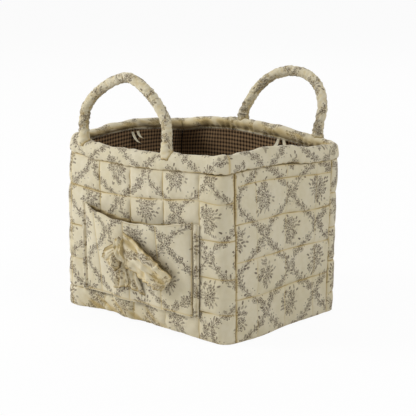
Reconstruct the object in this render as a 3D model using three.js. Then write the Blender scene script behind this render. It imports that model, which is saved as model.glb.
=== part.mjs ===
// A quilted fabric storage basket with a padded rim, two rope handles in gathered sleeves, a front pocket
// with a fabric bow, a checked lining and short tape ties. Millimetres, +Z up. The origin is the middle of
// the underside, the pocket is on the front wall, which faces -Y, and +X is to the right of it.
import * as THREE from 'three';

// Body
const bodyLength = 320;
const bodyDepth = 250;
const bodyHeight = 260;
const cornerRadius = 20;
const seamGap = 0.3;
const cornerSteps = 6;

// Layers of the wall, from the outside in
const panelThickness = 6;
const puffHeight = 3;
const foamThickness = 3;
const liningThickness = 1;

// Layers of the floor, from the ground up
const bottomPanelThickness = 4;
const baseBoardThickness = 2.5;
const bottomLiningThickness = 1;
const footRounding = 4.5;

// Quilting
const quiltColumn = 64;
const quiltRow = 52;
const puffSteps = 4;
const panelWrap = 35.4;
const frontQuilt = { column: -17, row: 41 };
const rightQuilt = { column: 3, row: 9 };
const backQuilt = { column: 12, row: 30 };
const leftQuilt = { column: -8, row: 20 };

// Rim
const rimOuterHeight = 24;
const rimInnerHeight = 20;
const rimOuterProud = 1;
const rimInnerProud = 6.4;
const rimClothThickness = 3;
const rimPadding = 10;
const rimPaddingSlack = 1;

// Handles
const ropeDiameter = 11;
const ropeClearance = 0.5;
const sleeveThickness = 2;
const handleSteps = 24;
const handleRise = 83;
const handleBulge = 2;
const handleShoulder = 0.55;
const gatherDepth = 0.6;
const gatherPitch = 19;
const frontHandle = { name: 'front', span: 170, offset: -37, lean: -4, crown: 0.38 };
const backHandle = { name: 'back', span: 146, offset: 50, lean: 24, crown: 0.62 };
const handleEndWidth = 20;
const handleEndThickness = 2;
const handleEndLift = 1;

// Pocket
const pocketCentre = -4;
const pocketWidth = 214;
const pocketBottom = 31;
const pocketTop = 165;
const pocketSag = 12;
const pocketGape = 12;
const pocketThickness = 4;
const pocketBindingWidth = 10;
const pocketBindingThickness = 2.5;
const pocketBindingEdge = 0.1;

// Bow
const bowCentre = -14;
const bowHeight = 113;
const bowCloth = 1.4;
const bowKnotHalfLength = 6.5;
const bowKnotHalfHeight = 22;
const bowKnotRadius = 11;
const bowKnotEnd = 0.7;
const bowLoopBulge = 9;
const bowLeftLoop = { side: -1, length: 42, halfWidth: 18, slopes: [24, 62] };
const bowRightLoop = { side: 1, length: 86, halfWidth: 25, slopes: [18, 40] };
const bowLoopGather = 0.2;
const bowLoopTaper = 0.14;
const bowTailLength = 42;
const bowTailWidth = 28;
const bowTailTop = 0.4;
const bowTailOffset = 8;
const bowTailSpread = 0.17;
const bowTailSlant = 0.3;
const bowTailWave = 1.2;

// Tape ties under the rim, one in each wall
const tieWidth = 5;
const tieThickness = 0.8;
const tieLongTail = 24;
const tieShortTail = 17;
const tieSpread = 6;
const tieFork = 3;
const leftTieAlong = 12;
const rightTieAlong = -12;

// Sizes that follow from the ones above
const foamInset = panelThickness + seamGap;
const liningInset = foamInset + foamThickness + seamGap;
const wallThickness = liningInset + liningThickness;
const rimInnerInset = wallThickness + rimInnerProud;
const rimMiddleInset = (rimInnerInset - rimOuterProud) / 2;
const rimHalfWidth = (rimInnerInset + rimOuterProud) / 2;
const panelTop = bodyHeight - rimOuterHeight - seamGap;
const liningTop = bodyHeight - rimInnerHeight - seamGap;
const paddingTop = bodyHeight - rimClothThickness - seamGap;
const foamTop = paddingTop - rimPadding - seamGap;
const boardBottom = bottomPanelThickness + seamGap;
const bottomLiningBottom = boardBottom + baseBoardThickness + seamGap;
const cavityFloor = bottomLiningBottom + bottomLiningThickness;
const straightX = bodyLength - 2 * cornerRadius;
const straightY = bodyDepth - 2 * cornerRadius;
const cornerArc = (Math.PI / 2) * cornerRadius;
const perimeter = 2 * (straightX + straightY) + 4 * cornerArc;
const quarterWay = (straightX + straightY) / 2 + cornerArc;
const frontReach = straightX / 2 + panelWrap;
const sideReach = straightY / 2 + cornerArc - panelWrap - seamGap;
const sleeveRadius = ropeDiameter / 2 + ropeClearance + sleeveThickness;
const pivotHeight = bodyHeight + seamGap + sleeveRadius;
const bowTailDepth = seamGap + 2 * bowTailWave + bowCloth;

// Materials
function cloth(name, color, roughness) {
  return new THREE.MeshStandardMaterial({ name, color, roughness, metalness: 0 });
}
const printedCotton = cloth('printed_cotton', 0xcfc6aa, 0.9);
const checkedCotton = cloth('checked_cotton', 0x4d3a2c, 0.9);
const foamSheet = cloth('foam_sheet', 0xe6e4dc, 0.95);
const rawRope = cloth('raw_rope', 0xddd3b8, 0.95);
const cottonTape = cloth('cotton_tape', 0xd9cfb4, 0.85);
const stiffBoard = cloth('stiff_board', 0x8f8f8b, 0.6);

const basket = new THREE.Group();

function addPiece(name, geometry, material, parent = basket) {
  const mesh = new THREE.Mesh(geometry, material);
  mesh.name = name;
  parent.add(mesh);
  return mesh;
}

// A point of the wall. along runs round the outline from the middle of the front wall towards +X, and
// inset is the depth below the outer face.
function wallPoint(along, inset, z) {
  let rest = THREE.MathUtils.euclideanModulo(along + straightX / 2, perimeter);
  let side = 0;
  const straight = () => (side % 2 === 0 ? straightX : straightY);
  while (rest > straight() + cornerArc) {
    rest -= straight() + cornerArc;
    side += 1;
  }
  const heading = (side * Math.PI) / 2;
  const run = Math.min(rest, straight());
  const turned = heading + (rest - run) / cornerRadius;
  const cornerX = side === 1 || side === 2 ? straightX / 2 : -straightX / 2;
  const cornerY = side >= 2 ? straightY / 2 : -straightY / 2;
  const reach = cornerRadius - inset;
  return new THREE.Vector3(
    cornerX + run * Math.cos(heading) + reach * Math.sin(turned),
    cornerY + run * Math.sin(heading) - reach * Math.cos(turned),
    z,
  );
}

function indexedGeometry(points, triangles) {
  const geometry = new THREE.BufferGeometry().setFromPoints(points);
  geometry.setIndex(triangles);
  geometry.computeVertexNormals();
  return geometry;
}

// Triangles between two rows of point numbers that run the same way.
function zip(triangles, rowA, rowB, flip) {
  let a = 0;
  let b = 0;
  while (a < rowA.length - 1 || b < rowB.length - 1) {
    const stepA = (a + 1) / (rowA.length - 1);
    const stepB = (b + 1) / (rowB.length - 1);
    const onA = b === rowB.length - 1 || (a < rowA.length - 1 && stepA <= stepB);
    const corners = onA ? [rowA[a], rowA[a + 1], rowB[b]] : [rowA[a], rowB[b + 1], rowB[b]];
    triangles.push(...(flip ? corners.reverse() : corners));
    if (onA) a += 1;
    else b += 1;
  }
}

// A closed sheet from two grids of columns, its front and its back. Columns run to the right as seen from
// the front, and each column runs upwards.
function sheetSolid(front, back) {
  const points = [...front.flat(), ...back.flat()];
  const triangles = [];
  let next = 0;
  const number = (grid) => grid.map((column) => column.map(() => next++));
  const frontIds = number(front);
  const backIds = number(back);
  const bottom = (ids) => ids.map((column) => column[0]);
  const top = (ids) => ids.map((column) => column[column.length - 1]);
  for (let i = 0; i + 1 < front.length; i += 1) {
    zip(triangles, frontIds[i + 1], frontIds[i], false);
    zip(triangles, backIds[i], backIds[i + 1], false);
  }
  zip(triangles, frontIds[0], backIds[0], false);
  zip(triangles, frontIds.at(-1), backIds.at(-1), true);
  zip(triangles, bottom(frontIds), bottom(backIds), true);
  zip(triangles, top(frontIds), top(backIds), false);
  return indexedGeometry(points, triangles);
}

// A solid from a grid that closes on itself both ways, such as a rim swept round the opening.
function ringSolid(grid) {
  const rows = grid[0].length;
  const triangles = [];
  grid.forEach((column, i) => {
    const here = i * rows;
    const there = ((i + 1) % grid.length) * rows;
    for (let j = 0; j < rows; j += 1) {
      const k = (j + 1) % rows;
      triangles.push(here + j, there + j, there + k, here + j, there + k, here + k);
    }
  });
  return indexedGeometry(grid.flat(), triangles);
}

// Even steps from start to end, both included.
function steps(start, end, count) {
  return Array.from({ length: count + 1 }, (unused, i) => start + ((end - start) * i) / count);
}

// The places where a panel is stitched: its two edges and the quilting lines between them.
function stitchLines(start, end, phase, spacing) {
  const least = spacing / 4;
  const lines = [start];
  const first = Math.ceil((start + least - phase) / spacing);
  for (let at = phase + first * spacing; at < end - least; at += spacing) lines.push(at);
  return [...lines, end];
}

// The stations that all layers of the wall share: the ends of each straight and even steps round each corner.
function sharedStations() {
  const stations = [];
  let along = -straightX / 2;
  for (let side = 0; side < 4; side += 1) {
    const straight = side % 2 === 0 ? straightX : straightY;
    stations.push(along);
    stations.push(...steps(along + straight, along + straight + cornerArc, cornerSteps).slice(0, -1));
    along += straight + cornerArc;
  }
  return stations;
}

// The shared stations within reach of a place on the wall, as distances from it.
function stationsNear(centreAlong, reach) {
  const nearest = 2;
  return sharedStations()
    .map((at) => THREE.MathUtils.euclideanModulo(at - centreAlong + perimeter / 2, perimeter) - perimeter / 2)
    .filter((at) => Math.abs(at) < reach - nearest)
    .sort((a, b) => a - b);
}

// Stations across the cells between stitch lines, each with its swell from 0 on a stitch to 1. Where a
// shared station is given, it takes the place of the steps close to it.
function quiltStations(lines, shared = []) {
  const closest = 3;
  const stations = lines.map((at) => ({ at, swell: 0 }));
  const swellAt = (at) => {
    const cell = lines.findIndex((line) => line > at) - 1;
    return Math.sqrt(Math.sin((Math.PI * (at - lines[cell])) / (lines[cell + 1] - lines[cell])));
  };
  const isClear = (at) => stations.every((station) => Math.abs(station.at - at) > closest);
  const add = (at) => {
    if (isClear(at)) stations.push({ at, swell: swellAt(at) });
  };
  shared.forEach(add);
  for (let cell = 0; cell + 1 < lines.length; cell += 1) {
    steps(lines[cell], lines[cell + 1], puffSteps).slice(1, -1).forEach(add);
  }
  return stations.sort((a, b) => a.at - b.at);
}

// Quilted outer panel centred on the wall at centreAlong, with the foot of the panel turned in.
function quiltedPanel(centreAlong, reach, quilt) {
  const stitches = stitchLines(-reach, reach, quilt.column, quiltColumn);
  const columns = quiltStations(stitches, stationsNear(centreAlong, reach));
  const rows = quiltStations(stitchLines(0, panelTop, quilt.row, quiltRow));
  const footInset = (z) => {
    const rise = Math.max(0, footRounding - z);
    return footRounding - Math.sqrt(footRounding ** 2 - rise ** 2);
  };
  const front = columns.map((column) => rows.map((row) => {
    const puff = puffHeight * (1 - column.swell * row.swell);
    return wallPoint(centreAlong + column.at, Math.max(puff, footInset(row.at)), row.at);
  }));
  const back = columns.map((column) => [0, panelTop].map(
    (z) => wallPoint(centreAlong + column.at, panelThickness, z),
  ));
  return sheetSolid(front, back);
}

// Plain sheet that follows the wall between two insets.
function wallSheet(centreAlong, reach, outerInset, thickness, bottom, top) {
  const columns = [-reach, ...stationsNear(centreAlong, reach), reach];
  const face = (inset) => columns.map((at) => [bottom, top].map(
    (z) => wallPoint(centreAlong + at, inset, z),
  ));
  return sheetSolid(face(outerInset), face(outerInset + thickness));
}

// Flat plate with the outline of the wall at an inset.
function floorPlate(inset, thickness, bottom) {
  const halfX = straightX / 2;
  const halfY = straightY / 2;
  const radius = cornerRadius - inset;
  const outline = new THREE.Shape();
  outline.absarc(halfX, -halfY, radius, -Math.PI / 2, 0);
  outline.absarc(halfX, halfY, radius, 0, Math.PI / 2);
  outline.absarc(-halfX, halfY, radius, Math.PI / 2, Math.PI);
  outline.absarc(-halfX, -halfY, radius, Math.PI, 1.5 * Math.PI);
  const options = { depth: thickness, bevelEnabled: false, curveSegments: cornerSteps / 2 };
  return new THREE.ExtrudeGeometry(outline, options).translate(0, 0, bottom);
}

// The band round the opening: an inverted U of cloth, with a round top, over the padding and the foam.
function rimBand() {
  const topSteps = 6;
  const innerHalf = rimHalfWidth - rimClothThickness;
  const springing = bodyHeight - rimHalfWidth;
  const profile = [[-rimOuterProud, bodyHeight - rimOuterHeight]];
  steps(0, Math.PI, topSteps).forEach((turn) => profile.push(
    [rimMiddleInset - rimHalfWidth * Math.cos(turn), springing + rimHalfWidth * Math.sin(turn)],
  ));
  profile.push([rimInnerInset, bodyHeight - rimInnerHeight]);
  profile.push([rimInnerInset - rimClothThickness, bodyHeight - rimInnerHeight]);
  steps(Math.PI, 0, topSteps).forEach((turn) => profile.push(
    [rimMiddleInset - innerHalf * Math.cos(turn), springing + innerHalf * Math.sin(turn)],
  ));
  profile.push([rimClothThickness - rimOuterProud, bodyHeight - rimOuterHeight]);
  return ringSolid(sharedStations().map((along) => profile.map(([inset, z]) => wallPoint(along, inset, z))));
}

// The soft roll of wadding under the top of the band.
function rimWadding() {
  const sides = 10;
  const halfHeight = rimPadding / 2;
  const halfWidth = rimHalfWidth - rimClothThickness - rimPaddingSlack;
  const middle = paddingTop - halfHeight;
  const turns = steps(0, 2 * Math.PI, sides).slice(0, -1);
  return ringSolid(sharedStations().map((along) => turns.map((turn) => wallPoint(
    along,
    rimMiddleInset - halfWidth * Math.cos(turn),
    middle + halfHeight * Math.sin(turn),
  ))));
}

// The middle line of a handle, in the plane it stands in: up from one foot, over and down to the other.
function handleCurve(span, crown) {
  const foot = span / 2;
  const lower = handleShoulder * handleRise;
  const curve = new THREE.CurvePath();
  const top = new THREE.Vector3(0, 0, handleRise);
  [-1, 1].forEach((side) => {
    const ends = [
      new THREE.Vector3(side * foot, 0, 0),
      new THREE.Vector3(side * (foot + handleBulge), 0, lower),
      new THREE.Vector3(side * foot * crown, 0, handleRise),
      top,
    ];
    curve.add(new THREE.CubicBezierCurve3(...(side < 0 ? ends : ends.reverse())));
  });
  return curve;
}

// The gathered sleeve round the rope. Its ends draw in to a small hole, so each foot is a round end
// about the line that the handle folds on.
function handleSleeve(span, crown) {
  const sides = 10;
  const endSteps = 3;
  const drawnHole = 0.25;
  const curve = handleCurve(span, crown);
  const gathers = Math.round(curve.getLength() / gatherPitch);
  const outerRows = gathers * 3;
  const boreRadius = sleeveRadius - sleeveThickness;
  const endTurns = steps(drawnHole, Math.PI / 2, endSteps).slice(0, -1);
  const ring = (share, radius, dip) => {
    const at = curve.getPointAt(share);
    const tangent = curve.getTangentAt(share);
    const side = new THREE.Vector3(-tangent.z, 0, tangent.x);
    at.addScaledVector(tangent, dip);
    return steps(0, 2 * Math.PI, sides).slice(0, -1).map((turn) => at.clone()
      .addScaledVector(side, radius * Math.cos(turn))
      .add(new THREE.Vector3(0, radius * Math.sin(turn), 0)));
  };
  const skin = (radius, rows, depth) => [
    ...endTurns.map((turn) => ring(0, radius * Math.sin(turn), -radius * Math.cos(turn))),
    ...steps(0, 1, rows).map((share, row) => {
      const drawn = row % 3 === 0 && row > 0 && row < rows ? depth : 0;
      return ring(share, radius - drawn, 0);
    }),
    ...[...endTurns].reverse().map((turn) => ring(1, radius * Math.sin(turn), radius * Math.cos(turn))),
  ];
  const outer = skin(sleeveRadius, outerRows, gatherDepth);
  const inner = skin(boreRadius, handleSteps, 0);
  return ringSolid([...outer, ...inner.reverse()]);
}

function handleRope(span, crown) {
  const sides = 4;
  const section = new THREE.Shape().absarc(0, 0, ropeDiameter / 2, 0, 2 * Math.PI);
  const options = { steps: handleSteps, curveSegments: sides, extrudePath: handleCurve(span, crown) };
  return new THREE.ExtrudeGeometry(section, options);
}

// The flat end of a sleeve, sewn to the foam inside the rim.
function handleEnd(along) {
  const bottom = bodyHeight - rimOuterHeight + handleEndLift;
  const inset = foamInset - seamGap - handleEndThickness;
  return wallSheet(along, handleEndWidth / 2, inset, handleEndThickness, bottom, foamTop);
}

function addHandle({ name, span, offset, lean, crown }) {
  const front = name === 'front';
  const hinge = new THREE.Group();
  const pivotY = bodyDepth / 2 - rimMiddleInset;
  hinge.position.set(offset, front ? -pivotY : pivotY, pivotHeight);
  hinge.rotation.x = THREE.MathUtils.degToRad(front ? lean : -lean);
  basket.add(hinge);
  addPiece(`${name}_handle_sleeve`, handleSleeve(span, crown), printedCotton, hinge);
  addPiece(`${name}_handle_rope`, handleRope(span, crown), rawRope, hinge);
  [['left', -1], ['right', 1]].forEach(([end, sign]) => {
    const x = offset + (sign * span) / 2;
    const along = front ? x : perimeter / 2 - x;
    addPiece(`${name}_handle_${end}_end`, handleEnd(along), printedCotton);
  });
}

// How far the back of the pocket stands off the wall.
function pocketGap(x, z) {
  const across = Math.min(1, Math.abs(2 * (x - pocketCentre)) / pocketWidth);
  const up = THREE.MathUtils.smoothstep(z, pocketBottom, pocketTop);
  return pocketGape * (1 - across ** 4) * up;
}

// A point off the front wall of the basket, out from its face.
function frontPoint(x, out, z) {
  return new THREE.Vector3(x, -bodyDepth / 2 - out, z);
}

// A point off the front of the pocket.
function onPocket(x, out, z) {
  return frontPoint(x, seamGap + pocketGap(x, z) + pocketThickness + out, z);
}

// The pocket: sewn down at its sides and foot, with a mouth that sags and stands open.
function pocketPanel() {
  const columnCount = 14;
  const rowCount = 8;
  const left = pocketCentre - pocketWidth / 2;
  const columns = steps(left, left + pocketWidth, columnCount);
  const mouth = (x) => pocketTop - pocketSag * (1 - ((2 * (x - pocketCentre)) / pocketWidth) ** 2);
  const face = (out) => columns.map((x) => steps(pocketBottom, mouth(x), rowCount).map(
    (z) => onPocket(x, out, z),
  ));
  return sheetSolid(face(0), face(-pocketThickness));
}

// The folded strip that covers a side edge of the pocket.
function pocketBinding(side) {
  const inner = pocketCentre + side * (pocketWidth / 2 + seamGap);
  const [left, right] = side < 0 ? [inner - pocketBindingWidth, inner] : [inner, inner + pocketBindingWidth];
  const acrossSteps = 4;
  const swell = (x) => {
    const across = (x - left) / pocketBindingWidth;
    const share = THREE.MathUtils.lerp(pocketBindingEdge, 1 - pocketBindingEdge, across);
    return pocketBindingThickness * Math.sqrt(Math.sin(Math.PI * share));
  };
  const columns = steps(left, right, acrossSteps);
  const face = (out) => columns.map((x) => [pocketBottom, pocketTop].map(
    (z) => wallPoint(x, -seamGap - out(x), z),
  ));
  return sheetSolid(face(swell), face(() => 0));
}

// The knot of the bow: a strip of cloth drawn round its middle, nearly as tall as the right loop is there.
function bowKnot() {
  const sides = 14;
  const rings = [-1, -0.8, 0, 0.8, 1];
  const swell = (share) => bowKnotEnd + (1 - bowKnotEnd) * Math.sqrt(1 - share ** 2);
  const tallness = bowKnotHalfHeight / bowKnotRadius;
  const profile = [
    new THREE.Vector2(0, -bowKnotHalfLength),
    ...rings.map((share) => new THREE.Vector2(bowKnotRadius * swell(share), bowKnotHalfLength * share)),
    new THREE.Vector2(0, bowKnotHalfLength),
  ];
  const geometry = new THREE.LatheGeometry(profile, sides).rotateZ(-Math.PI / 2);
  const position = geometry.getAttribute('position');
  for (let i = 0; i < position.count; i += 1) {
    const out = seamGap + bowKnotRadius - position.getY(i);
    const point = onPocket(bowCentre + position.getX(i), out, bowHeight + tallness * position.getZ(i));
    position.setXYZ(i, point.x, point.y, point.z);
  }
  geometry.computeVertexNormals();
  return geometry;
}

// A loop of the bow: a band of cloth that goes out from the knot and back, with its two sides open. It
// bends down as it goes, from the first of the two slopes to the second. Its slanting first edge lies
// against the rim of the knot's end.
function bowLoop(loop) {
  const around = 20;
  const rows = steps(-1, 1, 4);
  const middle = bowTailDepth + seamGap + bowLoopBulge;
  const [firstSlope, lastSlope] = loop.slopes.map(THREE.MathUtils.degToRad);
  const bend = (lastSlope - firstSlope) / loop.length;
  const halfWidth = (share) => {
    const gathered = 1 - bowLoopGather + bowLoopGather * Math.sin(Math.PI * Math.min(0.5, share));
    return loop.halfWidth * gathered * (1 - bowLoopTaper * share ** 2);
  };
  const contact = Math.min(bowKnotEnd * bowKnotHalfHeight, halfWidth(0) * Math.cos(firstSlope));
  const start = bowKnotHalfLength + seamGap + contact * Math.tan(firstSlope);
  const surface = (turn, shrink, level) => {
    const run = loop.length / 2 - (loop.length / 2 - shrink) * Math.cos(turn);
    const out = middle + (bowLoopBulge - shrink) * Math.sin(turn);
    const slope = firstSlope + bend * run;
    const across = level * halfWidth(run / loop.length);
    const x = start + (Math.sin(slope) - Math.sin(firstSlope)) / bend + across * Math.sin(slope);
    const z = (Math.cos(slope) - Math.cos(firstSlope)) / bend + across * Math.cos(slope);
    return onPocket(bowCentre + loop.side * x, out, bowHeight + z);
  };
  const turns = steps(0, 2 * Math.PI, around).slice(0, -1);
  const grid = turns.map((turn) => [
    ...rows.map((level) => surface(turn, 0, level)),
    ...[...rows].reverse().map((level) => surface(turn, bowCloth, level)),
  ]);
  return ringSolid(loop.side < 0 ? grid.reverse() : grid);
}

// A tail of the bow, which hangs from under the knot and spreads.
function bowTail(side) {
  const acrossSteps = 5;
  const downSteps = 6;
  const folds = 3;
  const clearOfKnot = 0.8;
  const top = bowHeight - clearOfKnot * bowKnotHalfHeight;
  const grid = (out) => steps(-0.5, 0.5, acrossSteps).map((across) => steps(1, 0, downSteps).map((down) => {
    const width = bowTailWidth * THREE.MathUtils.lerp(bowTailTop, 1, down);
    const x = side * (bowTailOffset + bowTailSpread * bowTailLength * down) + across * width;
    const z = top - bowTailLength * down - bowTailSlant * width * (across * side + 0.5);
    const wave = bowTailWave * (1 + down * Math.cos(across * folds * Math.PI));
    return onPocket(bowCentre + x, seamGap + wave + out, z);
  }));
  return sheetSolid(grid(bowCloth), grid(0));
}

// A tie: a length of tape folded in two and sewn under the rim, so that two tails hang down.
function tapeTie() {
  const tail = (sign, length) => {
    const shape = new THREE.Shape();
    const top = (sign * tieWidth) / 2;
    const foot = sign * (tieWidth / 2 + tieSpread);
    shape.moveTo(top - tieWidth / 2, 0);
    shape.lineTo(foot - tieWidth / 2, -length);
    shape.lineTo(foot + tieWidth / 2, -length);
    shape.lineTo(top + tieWidth / 2, 0);
    return shape;
  };
  const outline = new THREE.Shape();
  const [shortTail, longTail] = [tail(-1, tieShortTail), tail(1, tieLongTail)];
  const [shortTop, shortLeft, shortRight] = shortTail.getPoints();
  const [, longLeft, longRight, longTop] = longTail.getPoints();
  const fork = new THREE.Vector2(0, -tieFork);
  outline.setFromPoints([shortTop, shortLeft, shortRight, fork, longLeft, longRight, longTop]);
  const options = { depth: tieThickness, bevelEnabled: false };
  return new THREE.ExtrudeGeometry(outline, options).rotateX(Math.PI / 2);
}

// A tie hangs just clear of the lining, from under the lower edge of the rim.
function addTie(name, along) {
  const innerFace = wallThickness + seamGap + tieThickness;
  const at = wallPoint(along, innerFace, bodyHeight - rimInnerHeight - seamGap - tieThickness);
  const inward = wallPoint(along, innerFace + 1, at.z).sub(at);
  const mesh = addPiece(`${name}_tie`, tapeTie(), cottonTape);
  mesh.position.copy(at);
  mesh.rotation.z = Math.atan2(-inward.x, inward.y);
}

// Outer shell
addPiece('front_outer_panel', quiltedPanel(0, frontReach, frontQuilt), printedCotton);
addPiece('right_outer_panel', quiltedPanel(quarterWay, sideReach, rightQuilt), printedCotton);
addPiece('back_outer_panel', quiltedPanel(2 * quarterWay, frontReach, backQuilt), printedCotton);
addPiece('left_outer_panel', quiltedPanel(3 * quarterWay, sideReach, leftQuilt), printedCotton);
addPiece('bottom_outer_panel', floorPlate(panelThickness + seamGap, bottomPanelThickness, 0), printedCotton);

// Stiffening inside the wall and the floor
const halfWay = (straightX + cornerArc) / 2 - seamGap / 2;
const halfWaySide = (straightY + cornerArc) / 2 - seamGap / 2;
const walls = [
  ['front', 0, halfWay],
  ['right', quarterWay, halfWaySide],
  ['back', 2 * quarterWay, halfWay],
  ['left', 3 * quarterWay, halfWaySide],
];
walls.forEach(([name, along, reach]) => {
  const sheet = wallSheet(along, reach, foamInset, foamThickness, boardBottom, foamTop);
  addPiece(`${name}_foam_sheet`, sheet, foamSheet);
});
addPiece('base_board', floorPlate(liningInset, baseBoardThickness, boardBottom), stiffBoard);

// Lining
walls.forEach(([name, along, reach]) => {
  const sheet = wallSheet(along, reach, liningInset, liningThickness, bottomLiningBottom, liningTop);
  addPiece(`${name}_lining`, sheet, checkedCotton);
});
const liningPlate = floorPlate(wallThickness + seamGap, bottomLiningThickness, bottomLiningBottom);
addPiece('bottom_lining', liningPlate, checkedCotton);

// Rim
addPiece('rim_band', rimBand(), printedCotton);
addPiece('rim_wadding', rimWadding(), foamSheet);

addHandle(frontHandle);
addHandle(backHandle);

// Pocket and bow
addPiece('pocket_panel', pocketPanel(), printedCotton);
addPiece('pocket_left_binding', pocketBinding(-1), printedCotton);
addPiece('pocket_right_binding', pocketBinding(1), printedCotton);
addPiece('bow_knot', bowKnot(), printedCotton);
addPiece('bow_left_loop', bowLoop(bowLeftLoop), printedCotton);
addPiece('bow_right_loop', bowLoop(bowRightLoop), printedCotton);
addPiece('bow_left_tail', bowTail(-1), printedCotton);
addPiece('bow_right_tail', bowTail(1), printedCotton);

// Ties
addTie('front', frontHandle.offset);
addTie('right', quarterWay + rightTieAlong);
addTie('back', perimeter / 2 - backHandle.offset);
addTie('left', 3 * quarterWay - leftTieAlong);

export default basket;
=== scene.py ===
import math
import bpy
import numpy as np
from mathutils import Matrix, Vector
from mathutils.bvhtree import BVHTree


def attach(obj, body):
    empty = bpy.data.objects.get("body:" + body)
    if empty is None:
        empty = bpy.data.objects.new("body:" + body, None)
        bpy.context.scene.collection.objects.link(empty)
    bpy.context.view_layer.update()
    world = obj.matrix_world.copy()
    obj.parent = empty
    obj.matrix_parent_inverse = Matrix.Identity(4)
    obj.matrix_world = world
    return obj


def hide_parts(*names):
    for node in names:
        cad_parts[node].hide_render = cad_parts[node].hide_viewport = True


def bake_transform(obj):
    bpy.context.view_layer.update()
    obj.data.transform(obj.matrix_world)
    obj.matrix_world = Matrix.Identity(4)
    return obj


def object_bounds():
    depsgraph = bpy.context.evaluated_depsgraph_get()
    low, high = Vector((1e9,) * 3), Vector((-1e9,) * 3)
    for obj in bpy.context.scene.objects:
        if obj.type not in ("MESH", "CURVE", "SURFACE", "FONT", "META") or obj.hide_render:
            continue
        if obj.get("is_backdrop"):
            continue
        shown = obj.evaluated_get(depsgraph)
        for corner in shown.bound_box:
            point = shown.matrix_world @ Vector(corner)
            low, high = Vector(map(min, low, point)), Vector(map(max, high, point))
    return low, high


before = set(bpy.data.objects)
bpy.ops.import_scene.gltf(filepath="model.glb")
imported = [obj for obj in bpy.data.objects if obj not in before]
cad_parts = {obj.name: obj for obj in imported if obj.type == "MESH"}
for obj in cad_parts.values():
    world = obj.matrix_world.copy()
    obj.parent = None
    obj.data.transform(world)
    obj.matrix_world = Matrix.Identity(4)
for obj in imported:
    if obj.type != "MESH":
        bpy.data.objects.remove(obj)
cadBox = [list(corner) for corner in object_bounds()]
scene = bpy.context.scene
scene.view_settings.view_transform = "Standard"
print("frame loaded,", len(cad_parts), "nodes")

mm = 0.001
perMetre = 1000  # millimetres in a metre
turn = 2 * math.pi


def put(name, data):  # a new object in the scene
    made = bpy.data.objects.new(name, data)
    scene.collection.objects.link(made)
    return made


# shader tools

class Wire:  # one output socket; maths on it adds Math nodes
    def __init__(self, finish, socket):
        self.finish = finish
        self.socket = socket

    def math(self, operation, other=None):
        return self.finish.node("ShaderNodeMath", {"operation": operation}, {0: self, 1: other})

    def flipped(self, operation, other):
        return self.finish.node("ShaderNodeMath", {"operation": operation}, {0: other, 1: self})

    def __add__(self, other): return self.math("ADD", other)
    def __radd__(self, other): return self.math("ADD", other)
    def __sub__(self, other): return self.math("SUBTRACT", other)
    def __rsub__(self, other): return self.flipped("SUBTRACT", other)
    def __mul__(self, other): return self.math("MULTIPLY", other)
    def __rmul__(self, other): return self.math("MULTIPLY", other)
    def __truediv__(self, other): return self.math("DIVIDE", other)
    def __rtruediv__(self, other): return self.flipped("DIVIDE", other)
    def __neg__(self): return self.math("MULTIPLY", -1.0)
    def __abs__(self): return self.math("ABSOLUTE")
    def floor(self): return self.math("FLOOR")
    def fract(self): return self.math("FRACT")
    def sine(self): return self.math("SINE")
    def cosine(self): return self.math("COSINE")
    def root(self): return self.math("SQRT")
    def atLeast(self, other): return self.math("MAXIMUM", other)
    def below(self, other): return self.math("LESS_THAN", other)
    def angle(self, other): return self.math("ARCTAN2", other)
    def wave(self, every): return (self * (turn / every)).sine()

    def rise(self, low, high):  # 0 up to low, 1 from high, smooth between
        return self.finish.node(
            "ShaderNodeMapRange", {"interpolation_type": "SMOOTHSTEP"},
            {"Value": self, "From Min": low, "From Max": high},
        )


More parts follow.
